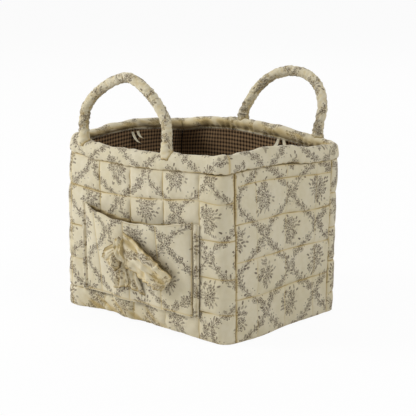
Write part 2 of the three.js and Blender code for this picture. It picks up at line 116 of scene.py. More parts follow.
class Finish:  # one material, or the world
    def __init__(self, name, world=None):
        self.material = world or bpy.data.materials.new(name)
        self.material.use_nodes = True
        self.tree = self.material.node_tree
        self.tree.nodes.clear()
        self.output = self.tree.nodes.new("ShaderNodeOutputWorld" if world else "ShaderNodeOutputMaterial")
        if not world:
            self.shader = self.tree.nodes.new("ShaderNodeBsdfPrincipled")
            self.show(Wire(self, self.shader.outputs[0]))

    def show(self, wire):
        self.tree.links.new(wire.socket, self.output.inputs["Surface"])

    def fill(self, node, sockets):
        for key, value in sockets.items():
            if isinstance(value, Wire):
                self.tree.links.new(value.socket, node.inputs[key])
            elif value is not None:
                node.inputs[key].default_value = value

    def node(self, kind, settings=None, sockets=None, output=0):
        made = self.tree.nodes.new(kind)
        for key, value in (settings or {}).items():
            setattr(made, key, value)
        self.fill(made, sockets or {})
        return Wire(self, made.outputs[output])

    def surface(self, **sockets):
        self.fill(self.shader, {key.replace("_", " "): value for key, value in sockets.items()})

    def mix(self, factor, first, second):  # colours
        return self.node("ShaderNodeMix", {"data_type": "RGBA"}, {0: factor, 6: first, 7: second}, 2)

    def bump(self, height, strength, distance):
        return self.node("ShaderNodeBump", {}, {"Height": height, "Strength": strength, "Distance": distance})

    def across(self):  # the cloth's own coordinates, in millimetres
        spot = self.node("ShaderNodeUVMap", {"uv_map": "cloth"})
        parts = self.split("ShaderNodeSeparateXYZ", spot)
        return spot, parts[0] * perMetre, parts[1] * perMetre

    def seamAndShade(self):  # seam marks and painted shade: 1 in the bottom of a seam or fold, and where shade is painted
        return self.node("ShaderNodeAttribute", {"attribute_name": "seamAndShade"}, {}, "Fac")

    def seen(self):  # 1 for what the camera sees, also in a mirror or through glass
        path = self.node("ShaderNodeLightPath").socket.node
        rays = [Wire(self, path.outputs[f"Is {kind} Ray"]) for kind in ("Camera", "Glossy", "Transmission")]
        return rays[0].atLeast(rays[1]).atLeast(rays[2])

    def split(self, kind, wire):  # the three parts of a vector or colour
        node = self.node(kind, {}, {0: wire}).socket.node
        return [Wire(self, node.outputs[part]) for part in range(3)]

    def noise(self, spot, scale, detail=2.0, output="Fac"):
        settings = {"noise_dimensions": "2D"}
        return self.node("ShaderNodeTexNoise", settings, {"Vector": spot, "Scale": scale, "Detail": detail}, output)


def tint(red, green, blue):  # display colour 0 to 255 as a linear colour
    parts = [part / 255 for part in (red, green, blue)]
    return tuple(p / 12.92 if p <= 0.04045 else ((p + 0.055) / 1.055) ** 2.4 for p in parts) + (1.0,)


# printed cotton: wavy vines thick with small blossoms and leaves, and a posy in each space between them
sprig = {  # in millimetres
    "vineEvery": 57.0, "vineRepeat": 106.0, "vineSwing": 24.0, "wobble": 6.0, "wobbleScale": 60.0, "posySquat": 0.8,
    "stem": (0.25, 0.75), "stemInk": 0.85,  # pairs say where a line or an edge begins to fade and where it ends
    "stalk": (0.2, 0.65), "stalkInk": 0.7, "stalkFan": 0.13, "stalkMeet": 24.0, "stalkTop": -6.0, "stalkEnd": 22.0,
    "flowerEvery": 9.6, "flowerSize": 5.2, "petals": 5, "petalDeep": 0.23, "petalEdge": (-0.25, 0.25),
    "petalRim": (-1.5, -0.7), "petalInk": 0.2, "eye": (1.2, 1.9), "eyeInk": 0.9,
    "vineFlowers": (6.8, 0.4), "posyFlowers": (20.0, 0.55),  # how far out they grow, and the least share of that
    "leafEvery": 5.3, "leafLong": 3.5, "leafWide": 1.45, "leafOut": 0.85, "leafTurn": 0.8, "leafEdge": (0.5, 1.25),
    "midrib": (0.1, 0.4), "midribInk": 0.7, "leafInk": (1.0, 0.5),
    "vineLeaves": (8.0, 0.15), "posyLeaves": (25.0, 0.35),
    "berry": (0.63, 1.08), "berryInk": 0.8, "berryReach": 10.5, "hatchEvery": 1.1, "hatchInk": 0.07,
    "washVine": (2.0, 9.0), "washPosy": (9.0, 22.0), "washScale": 240.0, "washEdge": (0.40, 0.62), "washInk": 0.24,
}
# crease is the yellow of painted shade in folds; the dark brown after it is for seam lines and deeper painted shade
cotton = {
    "cream": (221, 212, 187), "shade": (211, 200, 167), "ink": (54, 21, 3), "crease": (197, 171, 106),
    "seamAndShade": (98, 78, 42), "mottle": ((16.0, 0.45), (110.0, 0.35)), "wornScale": 140.0, "worn": 0.2,
    "creaseShare": 0.7, "creaseRise": (0.03, 0.6), "seamAndShadeShare": 0.8, "seamAndShadeRise": (0.45, 0.9),
    "weaveEvery": 0.62, "stitchEvery": 3.4, "rough": 0.92, "sheen": 0.12, "gloss": 0.2, "bump": 0.35,
}


def rosette(x, y, size, spin):  # an open flower seen from above: pale petals with a dark rim and a dark eye
    away = (x * x + y * y).root()
    deep = sprig["petalDeep"]
    past = away - size * (1 - deep + deep * (y.angle(x) * sprig["petals"] + spin).cosine())
    bloom = 1 - past.rise(*sprig["petalEdge"])
    edge = bloom * past.rise(*sprig["petalRim"])
    eye = 1 - away.rise(*sprig["eye"])
    return bloom, edge.atLeast(bloom * sprig["petalInk"]).atLeast(eye * sprig["eyeInk"])


def leaf(x, y, spin):  # an ellipse with a pale midrib
    along = (x * spin.cosine() + y * spin.sine()) / sprig["leafLong"]
    beside = (y * spin.cosine() - x * spin.sine()) / sprig["leafWide"]
    inside = 1 - (along * along + beside * beside).rise(*sprig["leafEdge"])
    return inside * (sprig["midribInk"] + (1 - sprig["midribInk"]) * abs(beside).rise(*sprig["midrib"]))


def trellis(x, y):  # how far the nearest vine is, the way its leaves point, and where the middle of the posy is
    strip = (x / sprig["vineEvery"]).floor()
    odd = (strip * 0.5).fract() * 2
    phase = y * (turn / sprig["vineRepeat"])
    swing = phase.sine() * (1 - 2 * odd) * sprig["vineSwing"]
    slope = phase.cosine() * (1 - 2 * odd) * (sprig["vineSwing"] * turn / sprig["vineRepeat"])
    left = x - strip * sprig["vineEvery"] - swing
    right = x - (strip + 1) * sprig["vineEvery"] + swing
    isLeft = abs(left).below(abs(right))
    beside = right + (left - right) * isLeft
    slope = slope * (2 * isLeft - 1)
    vine = abs(beside) / (1 + slope * slope).root()
    heading = slope.flipped("ARCTAN2", 1.0) - beside.math("SIGN") * sprig["leafOut"]
    posyX = x - (strip + 0.5) * sprig["vineEvery"]
    posyY = ((y / sprig["vineRepeat"] + 0.75 + odd * 0.5).fract() - 0.5) * sprig["vineRepeat"]
    reach = (posyX * posyX + posyY * posyY * sprig["posySquat"]).root()
    return vine, heading, posyX, posyY, reach


def scatter(finish, spot, x, y, every):  # one random place in each cell: the way from it, where it is, and its dice
    cells = finish.node(
        "ShaderNodeTexVoronoi", {"voronoi_dimensions": "2D"},
        {"Vector": spot, "Scale": perMetre / every, "Randomness": 0.8}, "Position",
    )
    dice = finish.split("ShaderNodeSeparateColor", Wire(finish, cells.socket.node.outputs["Color"]))
    place = [part * perMetre for part in finish.split("ShaderNodeSeparateXYZ", cells)]
    return x - place[0], y - place[1], place, dice


def thrown(limit, die):  # between the least share and all of a limit
    most, least = limit
    return most * (least + (1 - least) * die)


def sprigInk(finish, spot, x, y):
    wobble = finish.split("ShaderNodeSeparateColor", finish.noise(spot, sprig["wobbleScale"], 1.0, "Color"))
    shaken = [way + (shift - 0.5) * sprig["wobble"] for way, shift in zip((x, y), wobble)]
    vine, heading, posyX, posyY, reach = trellis(*shaken)
    stem = (1 - vine.rise(*sprig["stem"])) * sprig["stemInk"]
    stalk = 1 - abs(abs(posyX) - (posyY + sprig["stalkMeet"]) * sprig["stalkFan"]).rise(*sprig["stalk"])
    stalk = stalk * posyY.below(sprig["stalkTop"]) * (-posyY).below(sprig["stalkEnd"]) * sprig["stalkInk"]
    drawn = (1 - vine.rise(*sprig["washVine"])).atLeast(1 - reach.rise(*sprig["washPosy"]))
    blots = finish.noise(spot, sprig["washScale"]).rise(*sprig["washEdge"])
    wash = drawn * blots * sprig["washInk"]  # soft shading round the drawings

    dx, dy, place, dice = scatter(finish, spot, x, y, sprig["leafEvery"])
    vine, heading, posyX, posyY, reach = trellis(*place[:2])
    onVine = vine.below(thrown(sprig["vineLeaves"], dice[1]))
    grows = onVine.atLeast(reach.below(thrown(sprig["posyLeaves"], dice[1])))
    outward = posyY.angle(posyX)
    spin = outward + (heading - outward) * onVine + (dice[0] - 0.5) * sprig["leafTurn"]
    leaves = leaf(dx, dy, spin) * grows * thrown(sprig["leafInk"], dice[2])

    dx, dy, place, dice = scatter(finish, spot, x, y, sprig["flowerEvery"])
    vine, heading, posyX, posyY, reach = trellis(*place[:2])
    grows = vine.below(thrown(sprig["vineFlowers"], dice[1]))
    grows = grows.atLeast(reach.below(thrown(sprig["posyFlowers"], dice[1])))
    bloom, flower = rosette(dx, dy, sprig["flowerSize"] * (0.85 + 0.3 * dice[2]), dice[0] * turn)
    berry = 1 - (dx * dx + dy * dy).root().rise(*sprig["berry"])
    berry = berry * (1 - grows) * vine.below(sprig["berryReach"]) * sprig["berryInk"]

    ink = stem.atLeast(stalk).atLeast(leaves).atLeast(berry) * (1 - bloom * grows)  # nothing shows through a flower
    hatch = 1 - sprig["hatchInk"] + sprig["hatchInk"] * (x + y).wave(sprig["hatchEvery"])
    return ink.atLeast(flower * grows).atLeast(wash) * hatch


def printedCotton():
    finish = Finish("printedCotton")
    spot, x, y = finish.across()
    seamAndShade = finish.seamAndShade()
    worn = finish.noise(spot, cotton["wornScale"], 3.0).rise(0.25, 0.6) * cotton["worn"] + (1 - cotton["worn"])
    large, small = [finish.noise(spot, scale, 3.0).rise(0.3, 0.7) * share for scale, share in cotton["mottle"]]
    cloth = finish.mix(large + small, tint(*cotton["cream"]), tint(*cotton["shade"]))
    cloth = finish.mix(sprigInk(finish, spot, x, y) * worn, cloth, tint(*cotton["ink"]))  # the print is thin in places
    for kind in ("crease", "seamAndShade"):  # painted shade: folds turn yellower, and seams and deep shade darker
        share = seamAndShade.rise(*cotton[kind + "Rise"]) * cotton[kind + "Share"]
        cloth = finish.mix(share, cloth, tint(*cotton[kind]))
    weave = x.wave(cotton["weaveEvery"]) + y.wave(cotton["weaveEvery"])
    thread = seamAndShade.rise(0.8, 0.97) * (x + y).wave(cotton["stitchEvery"]).rise(-0.3, 0.2)
    finish.surface(
        Base_Color=cloth, Roughness=cotton["rough"], Sheen_Weight=cotton["sheen"], Sheen_Roughness=0.5,
        Specular_IOR_Level=cotton["gloss"], Normal=finish.bump(weave * 0.5 + thread * 2, cotton["bump"], 0.12 * mm),
    )
    return finish.material


check = {
    "every": 5.8, "edge": (0.22, 0.28), "pale": (158, 129, 96), "dark": (16, 8, 3), "halfTone": 0.3,
    "threadEvery": 0.55, "thread": 0.03, "fadeScale": 30.0, "fade": 0.05, "seamShadeShare": 0.9, "rough": 0.94,
    "sheen": 0.03, "gloss": 0.08, "bump": 0.3,
}


def checkedCotton():
    finish = Finish("checkedCotton")
    spot, x, y = finish.across()
    stripes = [abs((way / check["every"]).fract() - 0.5).rise(*check["edge"]) for way in (x, y)]
    twill = (x + y).wave(check["threadEvery"])
    both = (stripes[0] + stripes[1]) * 0.5
    both = both * (1 + check["halfTone"] - check["halfTone"] * both)  # the half tones are nearer to the dark ones
    fade = finish.noise(spot, check["fadeScale"], 3.0) * check["fade"]
    dark = both * (1 - check["thread"] + check["thread"] * twill) - fade * both
    cloth = finish.mix(dark, tint(*check["pale"]), tint(*check["dark"]))
    seam = finish.seamAndShade().rise(0.4, 0.9) * check["seamShadeShare"]  # a dark seam line, and painted shade, in the corners
    cloth = finish.mix(seam, cloth, tint(*check["dark"]))
    finish.surface(
        Base_Color=cloth, Roughness=check["rough"], Sheen_Weight=check["sheen"],
        Specular_IOR_Level=check["gloss"], Normal=finish.bump(twill, check["bump"], 0.1 * mm),
    )
    return finish.material


tape = {
    "cream": (240, 233, 208), "shade": (208, 196, 160), "ribEvery": 0.9, "wearScale": 220.0, "wear": 0.6,
    "rough": 0.85, "sheen": 0.1, "bump": 0.5,
}


def cottonTape():
    finish = Finish("cottonTape")
    spot, x, y = finish.across()
    wear = finish.noise(spot, tape["wearScale"]).rise(0.3, 0.7) * tape["wear"]
    finish.surface(
        Base_Color=finish.mix(wear, tint(*tape["cream"]), tint(*tape["shade"])), Roughness=tape["rough"],
        Sheen_Weight=tape["sheen"], Normal=finish.bump(y.wave(tape["ribEvery"]), tape["bump"], 0.15 * mm),
    )
    return finish.material


board = {"pale": (150, 150, 146), "dark": (128, 128, 125), "grain": 90.0, "rough": 0.6, "bump": 0.2}


def floorBoard():
    finish = Finish("floorBoard")
    place = finish.node("ShaderNodeTexCoord", {}, {}, "Object")
    fleck = finish.node("ShaderNodeTexNoise", {}, {"Vector": place, "Scale": board["grain"], "Detail": 4.0})
    finish.surface(
        Base_Color=finish.mix(fleck, tint(*board["pale"]), tint(*board["dark"])), Roughness=board["rough"],
        Normal=finish.bump(fleck, board["bump"], 0.2 * mm),
    )
    return finish.material


finishes = {
    "printed_cotton": printedCotton(), "checked_cotton": checkedCotton(),
    "cotton_tape": cottonTape(), "stiff_board": floorBoard(),
}
print("materials made")


# mesh tools
clothFold = {"full": 420.0, "tint": 0.44, "crisp": 70.0}  # bend of a full fold, the share of painted shade it gets, angle of a sharp edge


def grid(first, second):
    return np.meshgrid(first, second, indexing="ij")


def unit(vectors):
    return vectors / np.linalg.norm(vectors, axis=-1, keepdims=True)


def smooth(value, low, high):
    share = np.clip((np.asarray(value, float) - low) / (high - low), 0, 1)
    return share * share * (3 - 2 * share)


def fall(away, width):  # 1 on a line, fading on both sides of it
    return np.exp(-np.abs(away) / width)


def softNoise(x, y, size, seed):  # smooth noise from -1 to 1 over a grid of that size
    cells = 64
    table = np.random.RandomState(seed).uniform(-1, 1, (cells, cells))
    x, y = np.asarray(x, float) / size, np.asarray(y, float) / size
    column, row = np.floor(x).astype(int), np.floor(y).astype(int)
    u, v = x - column, y - row
    u, v = u * u * u * (u * (6 * u - 15) + 10), v * v * v * (v * (6 * v - 15) + 10)
    corner = lambda a, b: table[(column + a) % cells, (row + b) % cells]
    return (corner(0, 0) * (1 - u) + corner(1, 0) * u) * (1 - v) + (corner(0, 1) * (1 - u) + corner(1, 1) * u) * v


def creased(x, y, layers, seed=0):  # layers of noise: how strong, its size, slant, stretch along y, and seed
    return sum(
        strong * softNoise(x + y * slant, y * stretch, size, seed + more)
        for strong, size, slant, stretch, more in layers
    )


def lengthAlong(points):
    return np.concatenate([[0], np.cumsum(np.linalg.norm(np.diff(points, axis=0), axis=1))])


def between(t, start, end, slope, endSlope):  # smooth from start to end, with these slopes
    return (
        (2 * t**3 - 3 * t**2 + 1) * start + (t**3 - 2 * t**2 + t) * slope
        + (3 * t**2 - 2 * t**3) * end + (t**3 - t**2) * endSlope
    )


def smoothPath(points, count):  # even points on a smooth curve through the given ones
    points = np.asarray(points, float)
    knots = lengthAlong(points)
    slopes = np.gradient(points, knots, axis=0)
    fine = np.linspace(0, knots[-1], 2000)
    cell = np.clip(np.searchsorted(knots, fine, side="right") - 1, 0, len(knots) - 2)
    width = (knots[cell + 1] - knots[cell])[:, None]
    t = (fine - knots[cell])[:, None] / width
    curve = between(t, points[cell], points[cell + 1], width * slopes[cell], width * slopes[cell + 1])
    length = lengthAlong(curve)
    even = np.linspace(0, length[-1], count)
    return np.stack([np.interp(even, length, curve[:, axis]) for axis in range(3)], -1), even


def through(values, share):  # a smooth curve through evenly spaced values
    values = np.asarray(values, float)
    slopes = np.gradient(values)
    cell = np.clip((share * (len(values) - 1)).astype(int), 0, len(values) - 2)
    t = share * (len(values) - 1) - cell
    return between(t, values[cell], values[cell + 1], slopes[cell], slopes[cell + 1])


def closed(uvs, axis, step=(0, 0)):  # the first row or column again at the end, one way round further
    return np.concatenate([uvs, np.take(uvs, [0], axis) + np.array(step)], axis)


def bothSides(one, other):  # over one side of a cloth and back over the other
    return np.concatenate([one, other[:, ::-1]], 1)


def hollow(rings, wrap):  # how sharply the cloth is folded inwards at each point, 0 to 1
    ahead, behind = np.roll(rings, -1, 0), np.roll(rings, 1, 0)
    left, right = np.roll(rings, 1, 1), np.roll(rings, -1, 1)
    normal = unit(np.cross(ahead - behind, right - left) + 1e-15)

    def bend(one, other):
        there, back = one - rings, other - rings
        reach, rest = [np.linalg.norm(way, axis=-1, keepdims=True) + 1e-6 for way in (there, back)]
        return 2 * ((there / reach + back / rest) * normal).sum(-1) / (reach + rest)[..., 0]

    lengthwise = bend(ahead, behind)
    if not wrap:
        lengthwise[0], lengthwise[-1] = 0, 0
    fold = np.clip((lengthwise + bend(left, right)) / clothFold["full"], 0, 1)
    return 0.5 * fold + 0.125 * sum(np.roll(fold, step, axis) for step in (-1, 1) for axis in (0, 1))


def clothPiece(name, rings, uvs, slot, body, nodes=(), seamAndShade=0, wrap=False):
    # rings is (count, points, 3): closed loops of points, joined one to the next; wrap joins the last to the first
    count, around = rings.shape[:2]
    i, j = grid(np.arange(count if wrap else count - 1), np.arange(around))
    there, after = (i + 1) % count, (j + 1) % around
    faces = np.stack([i * around + j, there * around + j, there * around + after, i * around + after], -1)
    corners = np.stack([uvs[i, j], uvs[i + 1, j], uvs[i + 1, j + 1], uvs[i, j + 1]], -2)
    faces, corners = faces.reshape(-1, 4), corners.reshape(-1, 4, 2)
    if not wrap:  # each end is closed by a strip across the loop
        k = np.arange(around // 2 - 1)
        strip = np.stack([k, k + 1, around - 2 - k, around - 1 - k], -1)
        for end, lid in ((0, strip), (count - 1, strip[:, ::-1])):
            faces = np.concatenate([faces, lid + end * around])
            corners = np.concatenate([corners, uvs[end, lid]])
    mesh = bpy.data.meshes.new(name)
    mesh.from_pydata(rings.reshape(-1, 3).tolist(), [], faces.tolist())
    layer = mesh.uv_layers.new(name="cloth")
    layer.data.foreach_set("uv", corners.reshape(-1).astype(np.float32))
    depth = mesh.attributes.new("seamAndShade", "FLOAT", "POINT")
    # painted shade in folds, from how sharply the cloth bends inwards
    values = np.maximum(seamAndShade, clothFold["tint"] * hollow(rings, wrap))
    depth.data.foreach_set("value", values.reshape(-1).astype(np.float32))
    mesh.shade_smooth()
    mesh.set_sharp_from_angle(angle=math.radians(clothFold["crisp"]))
    piece = put(name, mesh)
    mesh.materials.append(finishes[slot])
    if nodes:
        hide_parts(*nodes)
    if body:
        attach(piece, body)
    return piece


# the body's shape, the same values as the solids
body = {
    "length": 0.320, "depth": 0.250, "height": 0.260, "corner": 0.020, "wall": 0.006, "lining": 0.0096,
    "footRound": 0.0055, "panelTop": 0.2355, "bellyLow": 0.2, "bellyFull": 0.9, "softRim": (0.205, 0.262),
    "liftTop": 0.05,
}
straightX = body["length"] - 2 * body["corner"]
straightY = body["depth"] - 2 * body["corner"]
cornerArc = math.pi / 2 * body["corner"]
perimeter = 2 * (straightX + straightY) + 4 * cornerArc
quarterWay = (straightX + straightY) / 2 + cornerArc
leftCorner = -(straightX + cornerArc) / 2
farCorner = 2 * quarterWay + leftCorner
sway = {  # place along the wall, width, how much: the belly of each wall, lean at the foot, height of the rim
    "belly": ((-0.01, 0.17, 0.008), (2 * quarterWay, 0.17, 0.004), (quarterWay, 0.14, 0.003),
              (3 * quarterWay, 0.14, 0.003), (farCorner, 0.10, 0.0060), (leftCorner, 0.06, 0.0020)),
    "foot": ((leftCorner, 0.13, 0.0045), (-0.09, 0.07, -0.005), (0.05, 0.06, 0.002),
             (quarterWay - 0.065, 0.08, 0.007), (-0.035, 0.03, 0.003), (0.010, 0.03, -0.003),
             (0.105, 0.035, 0.002), (0.41, 0.05, 0.002), (0.62, 0.06, 0.003)),
    "rim": ((-0.03, 0.15, -0.0060), (-0.09, 0.11, -0.0035), (0.222, 0.10, 0.0060), (0.36, 0.08, -0.0070),
            (0.425, 0.07, -0.0060), (0.53, 0.13, 0.0035), (0.61, 0.10, 0.0045), (0.7085, 0.06, -0.0060),
            (0.815, 0.08, 0.0035)),
    "lift": ((-0.055, 0.085, 0.0035), (0.055, 0.09, 0.0030)),  # the foot of the front is a little off the ground there
    "facing": ((0.88, 0.15, -0.30),),  # share by which the inner side of the rim is narrower
}
pulled = (  # place along the wall, width, and which way the soft rim is drawn in at that corner
    (-leftCorner, 0.085, (-0.0085, 0.0085)), (2 * quarterWay - leftCorner, 0.13, (0.0110, -0.0080)),
    (leftCorner, 0.06, (0.0035, 0.0030)),
)


def outline(along, inset):  # a point of the wall's outline; along runs from the middle of the front towards +X
    along, inset = np.broadcast_arrays(np.asarray(along, float), np.asarray(inset, float))
    starts = np.cumsum([0, straightX + cornerArc, straightY + cornerArc, straightX + cornerArc])
    rest = np.mod(along + straightX / 2, perimeter)
    side = np.searchsorted(starts, rest, side="right") - 1
    rest = rest - starts[side]
    run = np.minimum(rest, np.where(side % 2 == 0, straightX, straightY))
    heading = side * math.pi / 2
    turned = heading + (rest - run) / body["corner"]
    reach = body["corner"] - inset
    x = np.where((side == 1) | (side == 2), 0.5, -0.5) * straightX + run * np.cos(heading) + reach * np.sin(turned)
    y = np.where(side >= 2, 0.5, -0.5) * straightY + run * np.sin(heading) - reach * np.cos(turned)
    return x, y


def hump(along, centre, width):  # a smooth hump round a place on the wall
    away = np.mod(along - centre + perimeter / 2, perimeter) - perimeter / 2
    return np.clip(1 - (away / width) ** 2, 0, 1) ** 2


def swayed(kind, along):
    return sum(hump(along, place, width) * size for place, width, size in sway[kind])


def wallPoint(along, inset, z):  # a point of the soft wall: it bellies out and its rim waves
    along, inset, z = np.broadcast_arrays(*[np.asarray(part, float) for part in (along, inset, z)])
    share = z / body["height"]
    up = smooth(share, 0, body["bellyFull"])
    belly = swayed("belly", along) * (body["bellyLow"] + (1 - body["bellyLow"]) * up)
    x, y = outline(along, inset - (belly + swayed("foot", along) * (1 - up)))
    for place, width, way in pulled:
        drawn = hump(along, place, width) * smooth(z, *body["softRim"])
        x, y = x + drawn * way[0], y + drawn * way[1]
    lift = swayed("lift", along) * (1 - smooth(z, 0, body["liftTop"]))
    return np.stack([x, y, z + swayed("rim", along) * share**2 + lift], -1)


# pocket on the front wall, with a folded strip down each side
pocket = {
    "centre": -0.004, "width": 0.214, "bottom": 0.031, "top": 0.165, "sag": 0.012, "gape": 0.012, "thick": 0.004,
    # dark is how much shade is painted on the wall inside the pocket, faded in from its sides and top
    "off": 0.0004, "step": 0.004, "dark": 0.85, "shadeSides": (0.004, 0.012), "shadeTop": (-0.002, 0.001),
    "column": -0.017, "print": (0.022, 0.053), "puff": 0.0016, "puffSide": 0.003, "puffFoot": 0.004,
    "lumps": ((0.0014, 0.04, 0, 1, 92),), "crinkles": ((0.0008, 0.014, 1, 1, 93),), "crinkleTop": 0.03,
    "pressed": 0.0018, "lipAngles": (0.6, 1.2, 1.9, 2.5), "hem": 0.0032, "hemInk": 0.8, "lineInk": 0.5, "sideShade": 0.4,
}


def pocketMouth(x):
    return pocket["top"] - pocket["sag"] * (1 - (2 * (x - pocket["centre"]) / pocket["width"]) ** 2)


def pocketGap(x, z):
    across = np.minimum(1, np.abs(2 * (x - pocket["centre"])) / pocket["width"])
    return pocket["gape"] * (1 - across**4) * smooth(z, pocket["bottom"], pocket["top"])


def inPocket(x, z):  # 1 for a place of the wall that the pocket covers, where shade is painted
    within = pocket["width"] / 2 - np.abs(x - pocket["centre"])
    covered = smooth(within, *pocket["shadeSides"]) * smooth(pocketMouth(x) - z, *pocket["shadeTop"])
    return covered * (z > pocket["bottom"])


# quilted outer walls
quilt = {
    "puff": 0.0040, "dome": 0.4, "fullness": 0.9, "uneven": 0.16, "unevenEvery": 0.05, "endPuff": 0.42,
    "grooveWidth": 0.0034, "pucker": 0.0016, "puckerEvery": 0.0056, "puckerReach": 0.009, "puckerLong": 0.3,
    "thread": 0.0010, "threadUneven": 0.38, "threadEvery": 0.02, "shadow": 0.20, "shadowWidth": 0.006,
    "cornerInk": 0.95, "cornerWidth": 0.0018, "cornerReach": 0.05, "seamTuck": 0.0016, "seamWidth": 0.0015,
    "seamGap": 0.0003, "wrap": 0.0354, "columnEvery": 0.064, "rowEvery": 0.052, "step": 0.0027, "closest": 0.0006,
    "near": (0.0, 0.0008, 0.002, 0.004), "wander": 0.0012, "wanderEvery": 0.05, "bounds": (-0.003, 0.0056),
    "crumple": 0.0012, "crumples": ((1, 0.045, 0, 1, 7), (0.45, 0.014, 0.6, 1, 8), (0.4, 0.008, -0.7, 0.6, 10)),
    "endReach": (0.01, 0.05), "droopFrom": 0.13, "droopOver": 0.2, "stillFoot": 0.01,
}
footFolds = {  # loose cloth along the foot, less of it to the right and at both ends
    "deep": 0.0034, "creases": ((1, 0.009, 1.1, 0.35, 9),), "top": 0.05, "fade": 0.04, "from": 0.10, "over": 0.12,
    "right": 0.25, "ends": 0.3, "endsReach": (0.02, 0.07), "ink": 0.2, "foldShade": 0.7,
}
walls = (  # upright is the depth of the stitch lines that run up the wall, droop how far the rows sink to the left
    {"name": "front", "centre": 0.0, "column": -0.017, "row": 0.041, "upright": 0.9, "droop": 0.020,
     "loose": 1.0, "print": (0.012, 0.010), "seed": 3},
    {"name": "right", "centre": quarterWay, "column": 0.003, "row": 0.009, "upright": 0.5, "droop": 0.0,
     "loose": 0.25, "print": (0.130, 0.043), "seed": 17},
    {"name": "back", "centre": 2 * quarterWay, "column": 0.012, "row": 0.030, "upright": 0.8, "droop": 0.004,
     "loose": 0.5, "print": (0.071, 0.027), "seed": 29},
    {"name": "left", "centre": 3 * quarterWay, "column": -0.008, "row": 0.020, "upright": 0.6, "droop": -0.004,
     "loose": 0.5, "print": (0.043, 0.081), "seed": 41},
)
for wall in walls:  # the front and the back are wrapped round the corners, the sides end before them
    isLong = wall["name"] in ("front", "back")
    wall["straight"] = straightX if isLong else straightY
    wall["past"] = quilt["wrap"] if isLong else cornerArc - quilt["wrap"] - quilt["seamGap"]


def stitchLines(start, end, phase, every):
    inner = phase + every * np.arange(-9, 10)
    return np.array([start, *inner[(inner > start + every / 4) & (inner < end - every / 4)], end])


def stations(start, end, lines, step):  # close together by the stitches, further apart between them
    spots = [np.linspace(start, end, int((end - start) / step))]
    spots = np.concatenate(spots + [lines + side * near for near in quilt["near"] for side in (-1, 1)])
    spots = np.unique(np.round(spots[(spots >= start) & (spots <= end)], 6))
    keep = [spots[0]]
    for spot in spots[1:]:
        if spot - keep[-1] > quilt["closest"]:
            keep.append(spot)
        elif np.abs(lines - spot).min() < 1e-5:  # a stitch line keeps its place
            keep[-1] = spot
    return np.array(keep)


def cellShare(spots, lines):  # distance to the nearest stitch, and how far across its cell each spot lies
    cell = np.clip(np.searchsorted(lines, spots, side="right") - 1, 0, len(lines) - 2)
    low, high = lines[cell], lines[cell + 1]
    return np.minimum(spots - low, high - spots), (spots - low) / (high - low)


def quiltShape(v, z, columns, rows, wall):  # height of the padding, and darkness of the stitched grooves: painted shade along the stitch lines and beside them
    toColumn, acrossCell = [part[:, None] for part in cellShare(v, columns)]
    toRow, upCell = [part[None, :] for part in cellShare(z, rows)]
    toEnd = np.minimum(v - columns[0], columns[-1] - v)[:, None]
    upright = np.where(toEnd < toColumn + 1e-6, 1.0, wall["upright"])
    gridV, gridZ = grid(v, z)
    seed = wall["seed"]

    def stitched(width):
        return upright * fall(toColumn, width), fall(toRow, width)

    dipColumn, dipRow = [1 - line for line in stitched(quilt["grooveWidth"])]
    dome = np.sqrt(np.clip((1 - upright * (1 - np.sin(math.pi * acrossCell))) * np.sin(math.pi * upCell), 0, 1))
    full = quilt["fullness"] + quilt["uneven"] * softNoise(gridV, gridZ, quilt["unevenEvery"], seed + 2)
    full = full * (quilt["endPuff"] + (1 - quilt["endPuff"]) * smooth(toEnd, *quilt["endReach"]))
    height = quilt["puff"] * full * dipColumn * dipRow * (1 - quilt["dome"] + quilt["dome"] * dome)
    upReach, reach = stitched(quilt["puckerReach"])
    ripple = softNoise(gridV, gridZ * quilt["puckerLong"], quilt["puckerEvery"], seed) * reach * dipRow
    upRipple = softNoise(gridV * quilt["puckerLong"], gridZ, quilt["puckerEvery"], seed + 1) * upReach * dipColumn
    height = height + quilt["pucker"] * (ripple + upRipple)
    uneven = quilt["threadUneven"]  # the thread sinks in more at some places, and the painted shade along it is deeper there
    faint = 1 - uneven + uneven * softNoise(gridV, gridZ, quilt["threadEvery"], seed + 3)
    nearCorner = hump(wall["centre"] + gridV, -leftCorner, quilt["cornerReach"]) > 0  # the seam there is drawn tight
    seamAndShade = np.maximum(*stitched(quilt["thread"])) * faint
    seamAndShade = np.maximum(seamAndShade, quilt["cornerInk"] * fall(toEnd, quilt["cornerWidth"]) * nearCorner)
    # a wider band of painted shade beside the stitch lines
    return height, np.maximum(seamAndShade, quilt["shadow"] * np.maximum(*stitched(quilt["shadowWidth"])))


